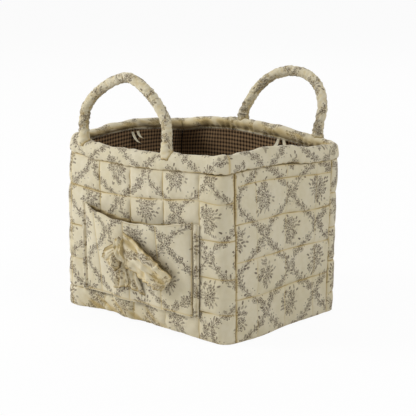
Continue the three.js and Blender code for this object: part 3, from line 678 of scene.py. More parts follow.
def outerWall(wall):
    reach, seed = wall["straight"] / 2 + wall["past"], wall["seed"]
    columns = stitchLines(-reach, reach, wall["column"], quilt["columnEvery"])
    rows = stitchLines(0, body["panelTop"], wall["row"], quilt["rowEvery"])
    v = stations(-reach, reach, columns, quilt["step"])
    z = stations(0, body["panelTop"], rows, quilt["step"])
    height, seamAndShade = quiltShape(v, z, columns, rows, wall)
    gridV, gridZ = grid(v, z)
    toEnd = reach - np.abs(gridV)
    wander = quilt["wander"] * softNoise(gridV, gridZ, quilt["wanderEvery"], seed + 5)  # no sewn line is quite straight
    height = height + quilt["crumple"] * creased(gridV, gridZ, quilt["crumples"], seed)

    leftward = smooth(footFolds["from"] - gridV, 0, footFolds["over"])
    slack = smooth(footFolds["top"] - gridZ, 0, footFolds["fade"])
    slack = slack * (footFolds["right"] + (1 - footFolds["right"]) * leftward) * wall["loose"]
    slack = slack * (footFolds["ends"] + (1 - footFolds["ends"]) * smooth(toEnd, *footFolds["endsReach"]))
    loose = creased(gridV, gridZ, footFolds["creases"], seed)
    height = height + footFolds["deep"] * slack * loose
    # the cloth is tinted yellower and darker towards the foot, with painted shade in the folds there
    seamAndShade = np.maximum(seamAndShade, slack * (footFolds["ink"] + footFolds["foldShade"] * np.clip(-loose, 0, 0.5)))

    foot = np.clip(body["footRound"] - gridZ, 0, None)
    foot = body["footRound"] - np.sqrt(body["footRound"] ** 2 - foot**2)
    inset = quilt["puff"] - height + quilt["seamTuck"] * fall(toEnd, quilt["seamWidth"])
    inset = np.clip(np.maximum(inset, foot), *quilt["bounds"])
    sunk = smooth(quilt["droopFrom"] - gridV, 0, quilt["droopOver"])
    droop = -wall["droop"] * sunk * np.sin(math.pi * gridZ / body["panelTop"])
    front = wallPoint(wall["centre"] + gridV, inset, gridZ + wander * (gridZ > quilt["stillFoot"]) + droop)
    back = wallPoint(wall["centre"] + gridV, body["wall"], gridZ + droop)
    uvs = np.stack([gridV + wall["print"][0], gridZ + droop + wall["print"][1]], -1)
    rings, uvs = bothSides(front, back), closed(bothSides(uvs, uvs), 1)
    if wall["name"] == "front":  # painted shade on the cloth inside the pocket, which never sees the light
        seamAndShade = np.maximum(seamAndShade, pocket["dark"] * inPocket(gridV, gridZ + droop))
    seamAndShade = bothSides(seamAndShade, 0 * seamAndShade)
    nodes = (wall["name"] + "_outer_panel", wall["name"] + "_foam_sheet")
    piece = clothPiece(wall["name"] + "Wall", rings, uvs, "printed_cotton", "basket", nodes, seamAndShade)


for wall in walls:
    outerWall(wall)
print("outer walls made")


# floor, outside and lined inside
floors = (
    {"piece": "floorCloth", "node": "bottom_outer_panel", "slot": "printed_cotton", "inset": 0.0063,
     "bottom": 0.0, "top": 0.004, "wrinkle": 0.0},
    {"piece": "floorLining", "node": "bottom_lining", "slot": "checked_cotton", "inset": 0.0088,
     "bottom": 0.0071, "top": 0.0085, "wrinkle": 0.0008},
)
floorShape = {  # rings go from the middle out to the edge
    "points": 160, "rings": (0.004, 0.12, 0.25, 0.4, 0.55, 0.7, 0.82, 0.92, 0.97, 1.0), "wrinkleEvery": 0.035,
    "seed": 71, "liftFrom": 0.8, "lip": 0.0012, "lipFrom": 0.96, "print": 0.3,
}


def floorPiece(spec):
    along = np.linspace(0, perimeter, floorShape["points"], endpoint=False)
    out = np.array(floorShape["rings"])
    edge = wallPoint(along, spec["inset"], spec["bottom"])[:, None, :2]  # follows the foot of the wall
    flat = edge * out[None, :, None]
    wrinkle = softNoise(flat[..., 0] + 1, flat[..., 1] + 1, floorShape["wrinkleEvery"], floorShape["seed"])
    lift = swayed("lift", along)[:, None] * smooth(out, floorShape["liftFrom"], 1)
    lip = floorShape["lip"] * smooth(out, floorShape["lipFrom"], 1)  # rounded edge
    top = np.concatenate([flat, (spec["top"] + spec["wrinkle"] * wrinkle + lift - lip)[..., None]], -1)
    under = np.concatenate([flat, (spec["bottom"] + lift)[..., None]], -1)
    rings = bothSides(under, top)
    uvs = closed(closed(rings[..., :2] + floorShape["print"], 1), 0)
    clothPiece(spec["piece"], rings, uvs, spec["slot"], "basket", (spec["node"],), wrap=True)


for spec in floors:
    floorPiece(spec)
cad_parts["base_board"].data.materials.clear()
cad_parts["base_board"].data.materials.append(finishes["stiff_board"])


# checked lining of the walls
lining = {
    "top": 0.2418, "bottom": 0.0075, "thick": 0.001, "step": 0.004, "rows": 64, "gap": 0.00015, "ease": 0.93,
    "facing": 0.0186, "facingFrom": 0.15, "wrinkle": 0.0013, "sags": ((1, 0.05, 0, 1, 11), (0.5, 0.016, 0.7, 1, 12)),
    "gathers": ((0.35, 0.009, 0, 0.2, 13),), "gatherFrom": 0.19, "seamWidth": 0.003, "seamBack": 0.0008,
}


def liningWall(wall):
    reach = (wall["straight"] + cornerArc) / 2 - lining["gap"]
    v = np.linspace(-reach, reach, int(2 * reach / lining["step"]))
    gridV, gridZ = grid(v, np.linspace(lining["bottom"], lining["top"], lining["rows"]))
    along = wall["centre"] + gridV
    gridZ = gridZ - lining["facing"] * swayed("facing", along) * smooth(gridZ, lining["facingFrom"], lining["top"])
    gather = smooth(gridZ, lining["gatherFrom"], lining["top"]) * creased(gridV, gridZ, lining["gathers"], wall["seed"])
    sag = creased(gridV, gridZ, lining["sags"], wall["seed"])
    seam = fall(reach - np.abs(gridV), lining["seamWidth"])  # the corner seam is drawn back, and is darkened as a seam line with painted corner shade
    hiddenInset = body["lining"] + lining["wrinkle"] * (sag + gather) - lining["seamBack"] * seam
    hidden = wallPoint(along, hiddenInset, gridZ)
    inside = wallPoint(along, hiddenInset + lining["thick"], gridZ)
    uvs = np.stack([gridV + wall["print"][0], gridZ], -1)
    rings, uvs, seamAndShade = bothSides(hidden, inside), closed(bothSides(uvs, uvs), 1), bothSides(0 * seam, seam)
    nodes = (wall["name"] + "_lining",)
    piece = clothPiece(wall["name"] + "Lining", rings, uvs, "checked_cotton", "basket", nodes, seamAndShade)
    flat = (2 * reach * lining["ease"], lining["top"] - lining["bottom"])
    wall["name"] + "Wall"


for wall in walls:
    liningWall(wall)
print("floor and lining made")


# padded rim: over the top edge of the wall, gathered a little where the handles are sewn on
rim = {
    "profile": ((3.4, -24.6), (1.4, -23.4), (-0.5, -18.5), (-0.6, -11.0), (0.6, -5.2), (3.8, -1.4), (8.0, 0.0),
                (12.2, -1.2), (15.6, -4.6), (16.4, -9.2), (14.8, -13.4), (12.6, -15.4), (11.8, -18.6)),
    "points": 40, "step": 0.0024, "sewn": 0.006, "pucker": 0.0016, "puckerReach": 0.009, "puckerEvery": 0.0052,
    "lump": 0.0014, "lumps": ((1, 0.03, 0, 1, 82), (0.5, 0.011, 0.7, 0.6, 85)), "lumpsFrom": 0.008,
    "fan": 0.0020, "fanReach": 0.05, "fanEvery": 0.011, "fanBend": 90.0, "fanStray": 2.6, "fanTuck": 0.0008,
    "slack": 0.0009, "join": 0.163, "joinWidth": 0.0016, "joinTuck": 0.0014, "joinInk": 0.7, "wave": 0.0012,
    "flush": ((leftCorner, 0.06, 0.0022), (farCorner, 0.10, 0.0010)),  # level with the wall at these corners
    "hem": 0.0034, "hemWidth": 0.0009, "hemInk": 0.8, "seamWidth": 0.0016, "print": (0.021, 0.034),
    "inner": (0.45, 0.7), "shade": (0.55, 0.8), "shadeEdge": (0.0012, 0.0026),  # the side turned inwards, and the painted shade on it
}
handles = (
    {"name": "front", "side": -1, "span": 0.1736, "offset": -0.0381, "lean": -4.5, "rise": 0.083,
     "bulge": (0.014, 0.0003), "crown": 0.27, "feet": (-0.120, 0.0525), "seed": 53},
    {"name": "back", "side": 1, "span": 0.1461, "offset": 0.0511, "lean": 25.0, "rise": 0.0814,
     "bulge": (0.0017, 0.0017), "crown": 0.65, "feet": (-0.028, 0.116), "seed": 61},
)


def footPlaces(spec):  # where a handle's feet are along the wall
    return [foot if spec["side"] < 0 else perimeter / 2 - foot for foot in spec["feet"]]


def paddedRim():
    loop, length = smoothPath([(inset, dz, 0) for inset, dz in rim["profile"]], rim["points"])
    loop, length = loop[:, :2] * mm, length * mm
    normal = unit(np.stack([-np.gradient(loop[:, 1]), np.gradient(loop[:, 0])], -1))  # inset and height of the way out
    along = np.linspace(-perimeter / 2, perimeter / 2, int(perimeter / rim["step"]), endpoint=False)
    a, s = grid(along, length)
    whole = length[-1]
    ends = np.minimum(s, whole - s)
    free = smooth(ends, 0, rim["sewn"])
    inner, shade = [smooth(s, *[whole * part for part in rim[side]]) for side in ("inner", "shade")]
    pucker = fall(ends, rim["puckerReach"]) * smooth(ends, -0.001, 0.002)
    pucker = pucker * softNoise(a, s * 0.25, rim["puckerEvery"], 81)
    lump = creased(a, s, rim["lumps"]) * smooth(ends, 0, rim["lumpsFrom"])
    feet = [(foot, hump(a, foot, rim["fanReach"])) for spec in handles for foot in footPlaces(spec)]
    bent = s * rim["fanBend"] + rim["fanStray"] * softNoise(a, s, 0.02, 87)
    fan = sum(near * np.sin((a - foot) * turn / rim["fanEvery"] + bent) for foot, near in feet)
    fan = fan * (0.65 + 0.6 * softNoise(a + s, s * 0.6, 0.012, 88))
    drawn = rim["fan"] * fan * (0.25 + 0.75 * inner) - rim["fanTuck"] * sum(near for foot, near in feet) * inner
    slack = rim["slack"] * inner * softNoise(a + s * 1.2, s, 0.012, 83)
    join = fall(a - rim["join"], rim["joinWidth"])  # the ends of the band are sewn together there
    out = rim["pucker"] * pucker + rim["lump"] * lump + (drawn + slack - rim["joinTuck"] * join) * free
    flush = sum(deep * hump(a, place, width) for place, width, deep in rim["flush"])
    narrow = 1 + swayed("facing", a) * (s > length[np.argmax(loop[:, 1])])
    z = body["height"] + loop[None, :, 1] * narrow + out * normal[None, :, 1]
    z = z + rim["wave"] * softNoise(a, 0 * a, 0.024, 84) * (1 - inner)  # the seam is not quite level
    rings = wallPoint(a, loop[None, :, 0] + out * normal[None, :, 0] + flush, z)
    hem = rim["hemInk"] * fall(s - (whole - rim["hem"]), rim["hemWidth"])
    seamAndShade = np.maximum(np.maximum(fall(s, rim["seamWidth"]), hem), rim["joinInk"] * join)
    # painted shade on the side turned inwards, uneven, stopping short of the edge
    shade = shade * smooth(whole - s, *rim["shadeEdge"])
    seamAndShade = np.maximum(seamAndShade, shade * (0.5 + 0.3 * softNoise(a + s, s, 0.012, 86)))
    uvs = np.stack([a + rim["print"][0], s + rim["print"][1]], -1)
    uvs = closed(closed(uvs, 1), 0, (perimeter, 0))
    sewnEnds = [f"{spec['name']}_handle_{end}_end" for spec in handles for end in ("left", "right")]
    nodes = ["rim_band", "rim_wadding"] + sewnEnds
    piece = clothPiece("paddedRim", rings, uvs, "printed_cotton", "basket", nodes, seamAndShade, wrap=True)
    return piece.data


rimMesh = paddedRim()
rimSurface = BVHTree.FromPolygons([v.co for v in rimMesh.vertices], [f.vertices for f in rimMesh.polygons])
print("rim made")


# handles: a gathered sleeve over rope, sewn into the rim
sleeve = {
    "radius": 0.0077, "count": 260, "around": 32, "gather": 0.0023, "waves": (0.0060, 0.0083, 0.0117, 0.0165),
    "drift": 2.2, "crease": 0.22, "creaseEvery": 0.0042, "seamTuck": 0.0007, "seamWidth": 0.25, "seamInk": 0.25,
    "foldShade": 0.30, "footDeep": 0.0095, "footInset": 0.0050, "footFull": 0.14, "footWide": 0.22, "footFlat": 0.12,
    "stitch": 0.0014, "stitchTop": 0.04, "pivotY": 0.117, "pivotZ": 0.2683, "footReach": (0.006, 0.030),
    "bunch": 0.5, "bunchReach": (0.02, 0.07), "flatGather": 0.10, "fullFold": 0.4,
}


def handlePath(spec):
    half, rise = spec["span"] / 2, spec["rise"]
    t = np.linspace(0.27, 1, 14)[:, None]
    legs = []
    for bulge in spec["bulge"]:
        a, b, c, d = np.array([(-half, 0), (-half - bulge, 0.55 * rise), (-half * spec["crown"], rise), (0, rise)])
        legs.append((1 - t) ** 3 * a + 3 * t * (1 - t) ** 2 * b + 3 * t**2 * (1 - t) * c + t**3 * d)
    arch = np.concatenate([legs[0], legs[1][-2::-1] * (-1, 1)])
    lean = math.radians(spec["lean"])
    x = spec["offset"] + arch[:, 0]
    y = spec["side"] * (sleeve["pivotY"] + arch[:, 1] * math.sin(lean))
    z = sleeve["pivotZ"] + arch[:, 1] * math.cos(lean)
    heights = body["height"] + np.array([-sleeve["footDeep"], 0.001])
    first, last = [wallPoint(along, sleeve["footInset"], heights) for along in footPlaces(spec)]
    return np.concatenate([first, np.stack([x, y, z], -1), last[::-1]])


def handle(spec):
    path, length = smoothPath(handlePath(spec), sleeve["count"])
    lean = math.radians(spec["lean"]) * spec["side"]
    across = np.array([0, math.cos(lean), -math.sin(lean)])  # square to the plane that the handle stands in
    along = unit(np.gradient(path, axis=0))
    side = unit(np.cross(along, across))
    other = np.cross(side, along)
    t, a = grid(length, np.linspace(0, turn, sleeve["around"], endpoint=False))
    rng = np.random.RandomState(spec["seed"])
    gather = np.zeros_like(t)
    for wave in sleeve["waves"]:
        drift = softNoise(t, np.cos(a) * 0.02, 0.03, rng.randint(900)) * sleeve["drift"]
        fold = 1 - np.abs(np.sin(math.pi * t / wave + rng.choice((0, 1, 1, 2)) * a + drift + rng.uniform(0, turn)))
        gather += fold * (0.6 + 0.6 * softNoise(t + 0.1, np.sin(a) * 0.012, 0.016, rng.randint(900)))
    gather = gather / len(sleeve["waves"]) - 0.3
    small = softNoise(t + 0.0012 * np.sin(3 * a), a * sleeve["radius"], sleeve["creaseEvery"], spec["seed"] + 1)
    gather = gather + sleeve["crease"] * small
    seam = np.exp(-((a - math.pi) / sleeve["seamWidth"]) ** 2)  # sewn along the inside of the curve
    end = np.minimum(t, length[-1] - t)
    foot = 1 - smooth(end, *sleeve["footReach"])
    bunched = gather * (1 + sleeve["bunch"] * (1 - smooth(end, *sleeve["bunchReach"])))
    radius = sleeve["radius"] * (1 + sleeve["footFull"] * foot) + sleeve["gather"] * bunched - sleeve["seamTuck"] * seam
    wide = radius * (1 + sleeve["footWide"] * foot) * np.cos(a)
    deep = radius * (1 - sleeve["footFlat"] * foot) * np.sin(a)
    rings = path[:, None] + wide[..., None] * side[:, None] + deep[..., None] * other[:, None]
    uvs = np.stack([t + 0.017 * spec["seed"], a * sleeve["radius"]], -1)
    uvs = closed(uvs, 1, (0, turn * sleeve["radius"]))
    folds = np.clip(sleeve["flatGather"] - gather, 0, sleeve["fullFold"])
    # painted shade in the folds of the gathers, and the dark seam line
    seamAndShade = sleeve["foldShade"] * folds / sleeve["fullFold"] + sleeve["seamInk"] * seam
    away = [rimSurface.find_nearest(point)[3] for point in rings.reshape(-1, 3).tolist()]
    rimSeamShade = fall(np.array(away).reshape(t.shape), sleeve["stitch"]) * (end < sleeve["stitchTop"])
    seamAndShade = np.maximum(seamAndShade, rimSeamShade)  # where it meets the rim: a seam line, darkened partly as painted shade between the parts
    nodes = (spec["name"] + "_handle_sleeve", spec["name"] + "_handle_rope")
    piece = clothPiece(spec["name"] + "Handle", rings, uvs, "printed_cotton", None, nodes, seamAndShade)
    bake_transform(piece)


for spec in handles:
    handle(spec)
print("handles made")


# the pocket's pieces

def onPocket(x, out, z):  # a point in front of the pocket's face
    return wallPoint(x, -(pocket["off"] + pocketGap(x, z) + pocket["thick"] + out), z)


def pocketPanel():
    left, right = pocket["centre"] - pocket["width"] / 2, pocket["centre"] + pocket["width"] / 2
    columns = stitchLines(left, right, pocket["column"], quilt["columnEvery"])
    x = stations(left, right, columns, pocket["step"])
    shares = np.concatenate([[0, 0.008, 0.02, 0.035, 0.055], np.linspace(0.08, 0.97, 30), [0.985, 1.0]])
    gridX, gridS = grid(x, shares)
    mouth = pocketMouth(gridX) + 0.0012 * softNoise(gridX, gridX, 0.02, 91)
    low = (mouth - pocket["bottom"]) * gridS
    z = pocket["bottom"] + low
    toColumn = cellShare(x, columns)[0][:, None]
    toEnd = np.minimum(x - left, right - x)[:, None]
    puff = pocket["puff"] * ((1 - fall(toColumn, pocket["puffSide"])) * (1 - fall(low, pocket["puffFoot"])) - 1)
    puff = puff + creased(gridX, z, pocket["lumps"])
    puff = puff + creased(gridX, z, pocket["crinkles"]) * fall(low, pocket["crinkleTop"])
    front = onPocket(gridX, puff - pocket["pressed"] * fall(toEnd, pocket["puffSide"]), z)  # flat by the strips
    angles = np.array(pocket["lipAngles"])
    lip = mouth[:, -1:] + pocket["thick"] / 2 * np.sin(angles)
    fold = onPocket(x[:, None], -pocket["thick"] / 2 * (1 - np.cos(angles)), lip)
    back = onPocket(gridX, -pocket["thick"], z)
    rings = np.concatenate([front, fold, back[:, ::-1]], 1)
    heights = np.concatenate([z, lip, z[:, ::-1]], 1)
    uvs = closed(np.stack([x[:, None] + 0 * heights, heights], -1) + pocket["print"], 1)
    # stitch lines and the hem are darkened, partly as painted shade in their grooves
    seamAndShade = np.maximum(pocket["lineInk"] * fall(toColumn, 0.0011), pocket["hemInk"] * fall(low - pocket["hem"], 0.001))
    # painted shade on the panel's ends, in the gap by the strips
    seamAndShade = np.maximum(seamAndShade, pocket["sideShade"] * (toEnd < 1e-6))
    seamAndShade = np.concatenate([seamAndShade, 0 * heights[:, len(shares):]], 1)
    piece = clothPiece("pocketPanel", rings, uvs, "printed_cotton", "basket", ("pocket_panel",), seamAndShade)


strip = {
    "wide": 0.010, "gap": 0.0003, "thick": 0.0028, "puff": 1.4, "across": 17, "rows": 60, "fold": 0.22,
    "foldWidth": 0.05, "foldShade": 0.40, "edge": 0.08, "stray": 0.0009, "inset": (0.0010, 0.0016),
    "print": (0.157, 0.047),
}


def pocketStrip(side, label):
    gridX, gridZ = grid(np.linspace(0, 1, strip["across"]), np.linspace(pocket["bottom"], pocket["top"], strip["rows"]))
    middle = np.clip((gridX - strip["fold"]) / (1 - 2 * strip["fold"]), 0, 1)
    pad = np.abs(np.sin(math.pi * middle)) ** 0.6 * 0.6 + 0.35
    pad = pad * np.clip(np.minimum(gridX, 1 - gridX) / strip["edge"], 0.1, 1)
    pad = strip["thick"] * pad * (1 + 0.5 * softNoise(gridX * 0.01, gridZ, 0.007, 95 + side))
    inner = pocket["centre"] + side * (pocket["width"] / 2 + strip["gap"])
    reach = inner + side * strip["wide"] * (gridX if side > 0 else 1 - gridX)
    place = reach + strip["stray"] * softNoise(gridZ, gridZ, 0.016, 96 + side)
    front = wallPoint(place, strip["inset"][0] - pad * strip["puff"], gridZ)
    back = wallPoint(place, strip["inset"][1], gridZ)
    uvs = np.stack([reach, gridZ], -1) + strip["print"]
    rings, uvs = bothSides(front, back), closed(bothSides(uvs, uvs), 1)
    # painted shade along the two folds of the strip
    folds = [fall(gridX - fold, strip["foldWidth"]) for fold in (strip["fold"], 1 - strip["fold"])]
    seamAndShade = strip["foldShade"] * np.maximum(*folds)
    seamAndShade = bothSides(seamAndShade, 0 * seamAndShade)
    name, node = "pocket" + label.title(), f"pocket_{label}_binding"
    piece = clothPiece(name, rings, uvs, "printed_cotton", "basket", (node,), seamAndShade)


pocketPanel()
pocketStrip(-1, "left")
pocketStrip(1, "right")
print("pocket made")


# bow sewn to the pocket: two drooping loops, a knot and two tails
bow = {
    "centre": -0.014, "height": 0.113, "cloth": 0.0013, "depth": 0.0045, "bulge": 0.0062, "off": 0.0006,
    "rows": 140, "across": 51, "pleat": 0.0034, "crinkle": 0.0011, "frill": 0.0018,
    "slacks": ((0.0030, 0.013, 0.010, 0.022, 1), (0.0015, 0.0060, -0.010, 0.022, 3)),
    "warm": 0.20, "warmUneven": 0.16, "foldShade": 0.35, "edgeHemShade": 0.88, "edgeWidth": 0.13,
}
bowLoops = {  # spine: how far out and up the middle of the band lies, its half width, and the tilt of the line across
    "bowLeft": {
        "side": -1, "node": "bow_left_loop", "print": (0.100, 0.060), "long": 0.037, "wide": 0.034, "seed": 101,
        "spine": ((0.0068, -0.005, 0.0160, 4), (0.0180, -0.0160, 0.0170, 42), (0.0280, -0.0260, 0.0150, 58)),
    },
    "bowRight": {
        "side": 1, "node": "bow_right_loop", "print": (0.300, 0.090), "long": 0.092, "wide": 0.048, "seed": 113,
        "spine": ((0.0068, 0.001, 0.0275, 5), (0.029, -0.008, 0.0235, 24), (0.051, -0.019, 0.0235, 31),
                  (0.069, -0.028, 0.0205, 35), (0.086, -0.036, 0.0150, 42)),
    },
}


def bowLoop(name, spec):
    side, long, seed = spec["side"], spec["long"], spec["seed"]
    a, level = grid(np.linspace(0, turn, bow["rows"], endpoint=False), np.linspace(-1, 1, bow["across"]))

    def skin(shrink):
        share = 0.5 - (0.5 - shrink / long) * np.cos(a)
        run = share * long
        out, up, half, tilt = [through(column, share) for column in zip(*spec["spine"])]
        tilt = np.radians(tilt)
        frill = softNoise(run, a * 0.01, 0.0048, seed + 7)  # the edges ruffle
        half = half * (1 + 0.07 * softNoise(run, a * 0.01, 0.009, seed) + 0.05 * frill)
        folds = softNoise(level * 0.03 + 0.2 * side, share * 0.014, 0.0075, seed + 2)
        pleat = bow["pleat"] * (1 - share) ** 1.2 * folds * np.clip(np.sin(a) + 0.3, 0, 1)
        slack = creased(run, level, bow["slacks"], seed) * np.sin(math.pi * share) ** 0.5
        bent = level * 0.025 + 0.006 * softNoise(run, level * 0.02, 0.02, seed + 5)
        crinkle = softNoise(bent, run * 0.3, 0.0042, seed + 4) * np.clip(np.sin(a) + 0.4, 0, 1)
        slack = slack + bow["crinkle"] * crinkle
        shut = np.where(level < 0, 0.85 - 0.4 * smooth(share, 0.5, 0.9), 0.6)  # the edges lie almost shut
        swell = np.sign(np.sin(a)) * np.abs(np.sin(a)) ** 0.7
        bulge = (bow["bulge"] - shrink) * swell * (1 - shut * level**2) * (0.7 + 0.3 * smooth(share, 0, 0.6))
        x, z = out + level * half * np.sin(tilt), up + level * half * np.cos(tilt)
        off = bow["depth"] + bow["bulge"] + bulge + pleat + slack + bow["frill"] * level**4 * frill
        return onPocket(bow["centre"] + side * x, np.maximum(off, bow["off"]), bow["height"] + z), pleat + slack

    outer, fold = skin(0)
    inner = skin(bow["cloth"])[0]
    uvs = np.stack([a / turn * 2 * long, level * spec["wide"] / 2], -1) + spec["print"]
    rings, uvs = bothSides(outer, inner), closed(bothSides(uvs, uvs), 1)
    rings = rings[:, ::-1] if side < 0 else rings  # right side out
    warm = bow["warm"] + bow["warmUneven"] * softNoise(a * 0.02, level * 0.02, 0.012, seed + 6)
    # painted shade in the folds
    warm = warm + bow["foldShade"] * np.clip(-fold / 0.003, 0, 1)
    seamAndShade = np.maximum(warm, bow["edgeHemShade"] * fall(1 - np.abs(level), bow["edgeWidth"]))  # hem lines and painted shade along the edges
    seamAndShade = bothSides(seamAndShade, seamAndShade)
    uvs = closed(uvs, 0, (2 * long, 0))
    piece = clothPiece(name, rings, uvs, "printed_cotton", "basket", (spec["node"],), seamAndShade, wrap=True)


knot = {
    "half": 0.0066, "radius": 0.0090, "tall": 0.0200, "rows": 30, "around": 64, "crease": 0.0007, "crumple": 0.0024,
    "warm": 0.2, "foldShade": 0.3, "endShade": 0.6, "print": (0.05, 0.02), "printTall": 0.016,
}


def bowKnot():
    s, a = grid(np.linspace(1, -1, knot["rows"]), np.linspace(0, turn, knot["around"], endpoint=False))
    crease = knot["crease"] * np.cos(s * 7.0 + 1.6 * np.sin(2 * a) + 0.4) * np.clip(-np.cos(a) + 0.6, 0, 1)
    bent = np.sin(a) * 0.03 + np.cos(a) * 0.01
    crease = crease + knot["crumple"] * softNoise(s * 0.009 + np.sin(a) * 0.012, bent, 0.0065, 107)
    swell = 0.75 + 0.22 * np.sqrt(1 - 0.95 * s**2)
    swell = swell * np.where(np.abs(s) > 0.995, 0.5, 1)
    out = knot["radius"] + 0.0003 - (knot["radius"] * swell + crease) * np.cos(a)
    z = bow["height"] + 0.001 + (knot["tall"] * swell + crease) * np.sin(a)
    x = bow["centre"] + s * knot["half"] * (1 + 0.25 * np.sin(a) ** 2)
    rings = onPocket(x, np.maximum(out, 0.0005), z)
    uvs = np.stack([s * knot["half"], a * knot["printTall"]], -1) + knot["print"]
    uvs = closed(uvs, 1, (0, turn * knot["printTall"]))
    # painted shade in the creases, and at both sides where the knot meets the loops
    warm = knot["warm"] + knot["foldShade"] * np.clip(-crease / 0.0016, 0, 1)
    seamAndShade = np.maximum(warm, knot["endShade"] * smooth(np.abs(s), 0.72, 0.95))
    piece = clothPiece("bowKnot", rings, uvs, "printed_cotton", "basket", ("bow_knot",), seamAndShade)


bowEnd = {
    "long": 0.042, "wide": 0.030, "narrow": 0.35, "below": 0.014, "aside": 0.006, "spread": 0.17, "slant": 0.3,
    "frill": 0.05, "wave": 0.0020, "crumple": 0.0016, "warm": 0.18, "foldShade": 0.2, "hemInk": 0.85, "hemWidth": 0.06,
}


def bowTail(side, label):
    c, d = grid(np.linspace(-0.5, 0.5, 33), np.linspace(0, 1, 37))
    wide = bowEnd["wide"] * (bowEnd["narrow"] + (1 - bowEnd["narrow"]) * d**0.8)
    x = bow["centre"] + side * (bowEnd["aside"] + bowEnd["spread"] * bowEnd["long"] * d) + c * wide
    frill = 1 + bowEnd["frill"] * softNoise(c * 0.03, 0 * c, 0.0050, 117 + side)
    z = bow["height"] - bowEnd["below"] - bowEnd["long"] * d * frill - bowEnd["slant"] * wide * (c * side + 0.5)
    wave = bowEnd["wave"] * (1 + d**0.6 * np.cos(c * 4.4 * math.pi + 0.9 * side + 1.2 * d))
    wave = wave + bowEnd["crumple"] * (1 + softNoise(c * 0.03 + d * 0.02, d * 0.06, 0.008, 109 + side))
    back, front = [onPocket(x, bow["off"] + wave + thick, z) for thick in (0, bow["cloth"])]
    uvs = np.stack([c * wide + 0.30 + 0.03 * side, -bowEnd["long"] * d + 0.2], -1)
    rings, uvs = bothSides(back, front), closed(bothSides(uvs, uvs), 1)
    # painted shade where the tail lies close to the pocket, and a dark hem line at its end
    warm = bowEnd["warm"] + bowEnd["foldShade"] * np.clip(1 - wave / 0.003, 0, 1)
    seamAndShade = np.maximum(warm, bowEnd["hemInk"] * fall(1 - d, bowEnd["hemWidth"]))
    seamAndShade = bothSides(seamAndShade, seamAndShade)
    name, node = f"bow{label.title()}Tail", f"bow_{label}_tail"
    piece = clothPiece(name, rings, uvs, "printed_cotton", "basket", (node,), seamAndShade)


for name, spec in bowLoops.items():
    bowLoop(name, spec)
bowKnot()
bowTail(-1, "left")
bowTail(1, "right")
print("bow made")


# ties: a tape folded in two and sewn under the rim, one in each wall
tie = {"wide": 0.0058, "thick": 0.0007, "top": 0.2416, "inset": 0.0134, "drawnIn": 0.3, "drawnTo": 0.15}
tieTails = {
    "Long": {"from": 0.0055, "long": 0.018, "spread": 0.0100, "curl": 0.0090, "twist": 0.8},
    "Short": {"from": -0.0050, "long": 0.011, "spread": 0.0050, "curl": 0.0060, "twist": -0.7},
}
ties = {  # place along the wall, and how far the long and the short tail swing aside
    "front": (-0.037, 1.0, 1.0), "right": (quarterWay - 0.012, 1.0, 1.0),
    "back": (perimeter / 2 - 0.056, -1.2, 1.6), "left": (3 * quarterWay - 0.012, 1.0, 1.0),
}


def tieTail(name, along, swing, label, tail):
    c, d = grid(np.linspace(-0.5, 0.5, 9), np.linspace(0, 1, 34))
    turned = tail["twist"] * d**1.4
    c = c * tie["wide"] * (1 - tie["drawnIn"] * fall(d, tie["drawnTo"]))  # drawn in where it is sewn
    place = along + tail["from"] - swing * tail["spread"] * d**1.3 + c * np.cos(turned)
    inset = tie["inset"] + tail["curl"] * d**2 + np.abs(c * np.sin(turned))
    z = tie["top"] - tail["long"] * np.sin(1.5 * d) + 0.4 * c * d
    front, back = wallPoint(place, inset, z), wallPoint(place, inset + tie["thick"], z)
    uvs = np.stack([c, tail["long"] * d], -1)
    rings, uvs = bothSides(back, front), closed(bothSides(uvs, uvs), 1)
    nodes = (name + "_tie",) if label == "Long" else ()
    piece = clothPiece(name + "Tie" + label, rings, uvs, "cotton_tape", None, nodes)
    name + "_tie"
    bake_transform(piece)


for name, (along, *swings) in ties.items():
    for swing, (label, tail) in zip(swings, tieTails.items()):
        tieTail(name, along, swing, label, tail)
print("ties made")


# camera, light and floor
def stand(thing, right, up, back, place):  # a camera or lamp looks against its back vector
    thing.matrix_world = Matrix([*np.array([right, up, back, place]).T.tolist(), [0, 0, 0, 1]])


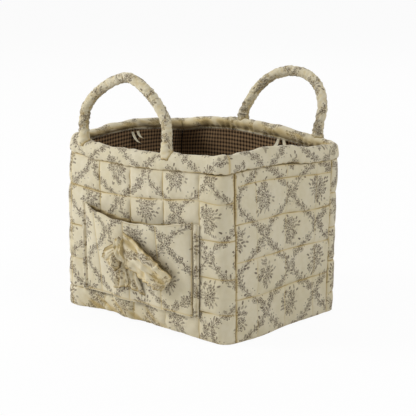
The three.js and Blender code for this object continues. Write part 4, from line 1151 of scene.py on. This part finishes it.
camera = {
    "place": (1.50765, -1.61449, 0.65904), "right": (0.7309, 0.6825, 0.0), "up": (-0.1533, 0.1642, 0.9744),
    "back": (0.66507, -0.71220, 0.22461), "lens": 133.16, "sensor": 36.0, "shift": 0.0161, "far": 50.0,
}
lens = bpy.data.cameras.new("photoCamera")
lens.lens, lens.sensor_width = camera["lens"], camera["sensor"]
lens.shift_x, lens.clip_end = camera["shift"], camera["far"]
scene.camera = put("photoCamera", lens)
stand(scene.camera, camera["right"], camera["up"], camera["back"], camera["place"])

lampAim = (0, 0, 0.15)
lamps = {
    "key": {"place": (-1.65, -1.35, 1.35), "size": 1.0, "power": 33.5},
    "low": {"place": (-0.5, -2.0, 0.25), "size": 0.9, "power": 2.4},
    "fill": {"place": (2.1, 0.3, 2.6), "size": 1.4, "power": 30.0},
    "back": {"place": (-1.5, 2.0, 1.8), "size": 1.4, "power": 16.0},
}
for name, spec in lamps.items():
    light = bpy.data.lights.new(name, "AREA")
    light.size, light.energy = spec["size"], spec["power"]
    back = unit(np.array(spec["place"]) - np.array(lampAim))
    right = unit(np.cross((0, 0, 1), back))
    stand(put(name, light), right, np.cross(back, right), back, spec["place"])

studioLight = {"soft": 0.37, "seen": 1.0}  # what lights the basket, and what the camera sees
scene.world = bpy.data.worlds.new("studio")
studio = Finish("studio", scene.world)
soft, white = [
    studio.node("ShaderNodeBackground", {}, {"Color": (1, 1, 1, 1), "Strength": studioLight[part]})
    for part in ("soft", "seen")
]
studio.show(studio.node("ShaderNodeMixShader", {}, {0: studio.seen(), 1: soft, 2: white}))

paperFloor = {"half": 8.0, "z": -0.0006, "colour": (0.9, 0.9, 0.9, 1), "white": 0.94}
floorCorners = [(x * paperFloor["half"], y * paperFloor["half"], paperFloor["z"])
                for x, y in ((-1, -1), (1, -1), (1, 1), (-1, 1))]
floorMesh = bpy.data.meshes.new("floor")
floorMesh.from_pydata(floorCorners, [], [(0, 1, 2, 3)])
floor = put("floor", floorMesh)
paper = Finish("paperFloor")
paper.surface(Base_Color=paperFloor["colour"], Roughness=1.0, Specular_IOR_Level=0.0)
glow = paper.node("ShaderNodeEmission", {}, {"Color": (1, 1, 1, 1), "Strength": 1.0})
plain = Wire(paper, paper.shader.outputs[0])
paper.show(paper.node("ShaderNodeMixShader", {}, {0: paper.seen() * paperFloor["white"], 1: plain, 2: glow}))
floorMesh.materials.append(paper.material)
floor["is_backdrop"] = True
print("camera, light and floor made")

{"cad": cadBox, "visual": [list(corner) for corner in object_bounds()]}
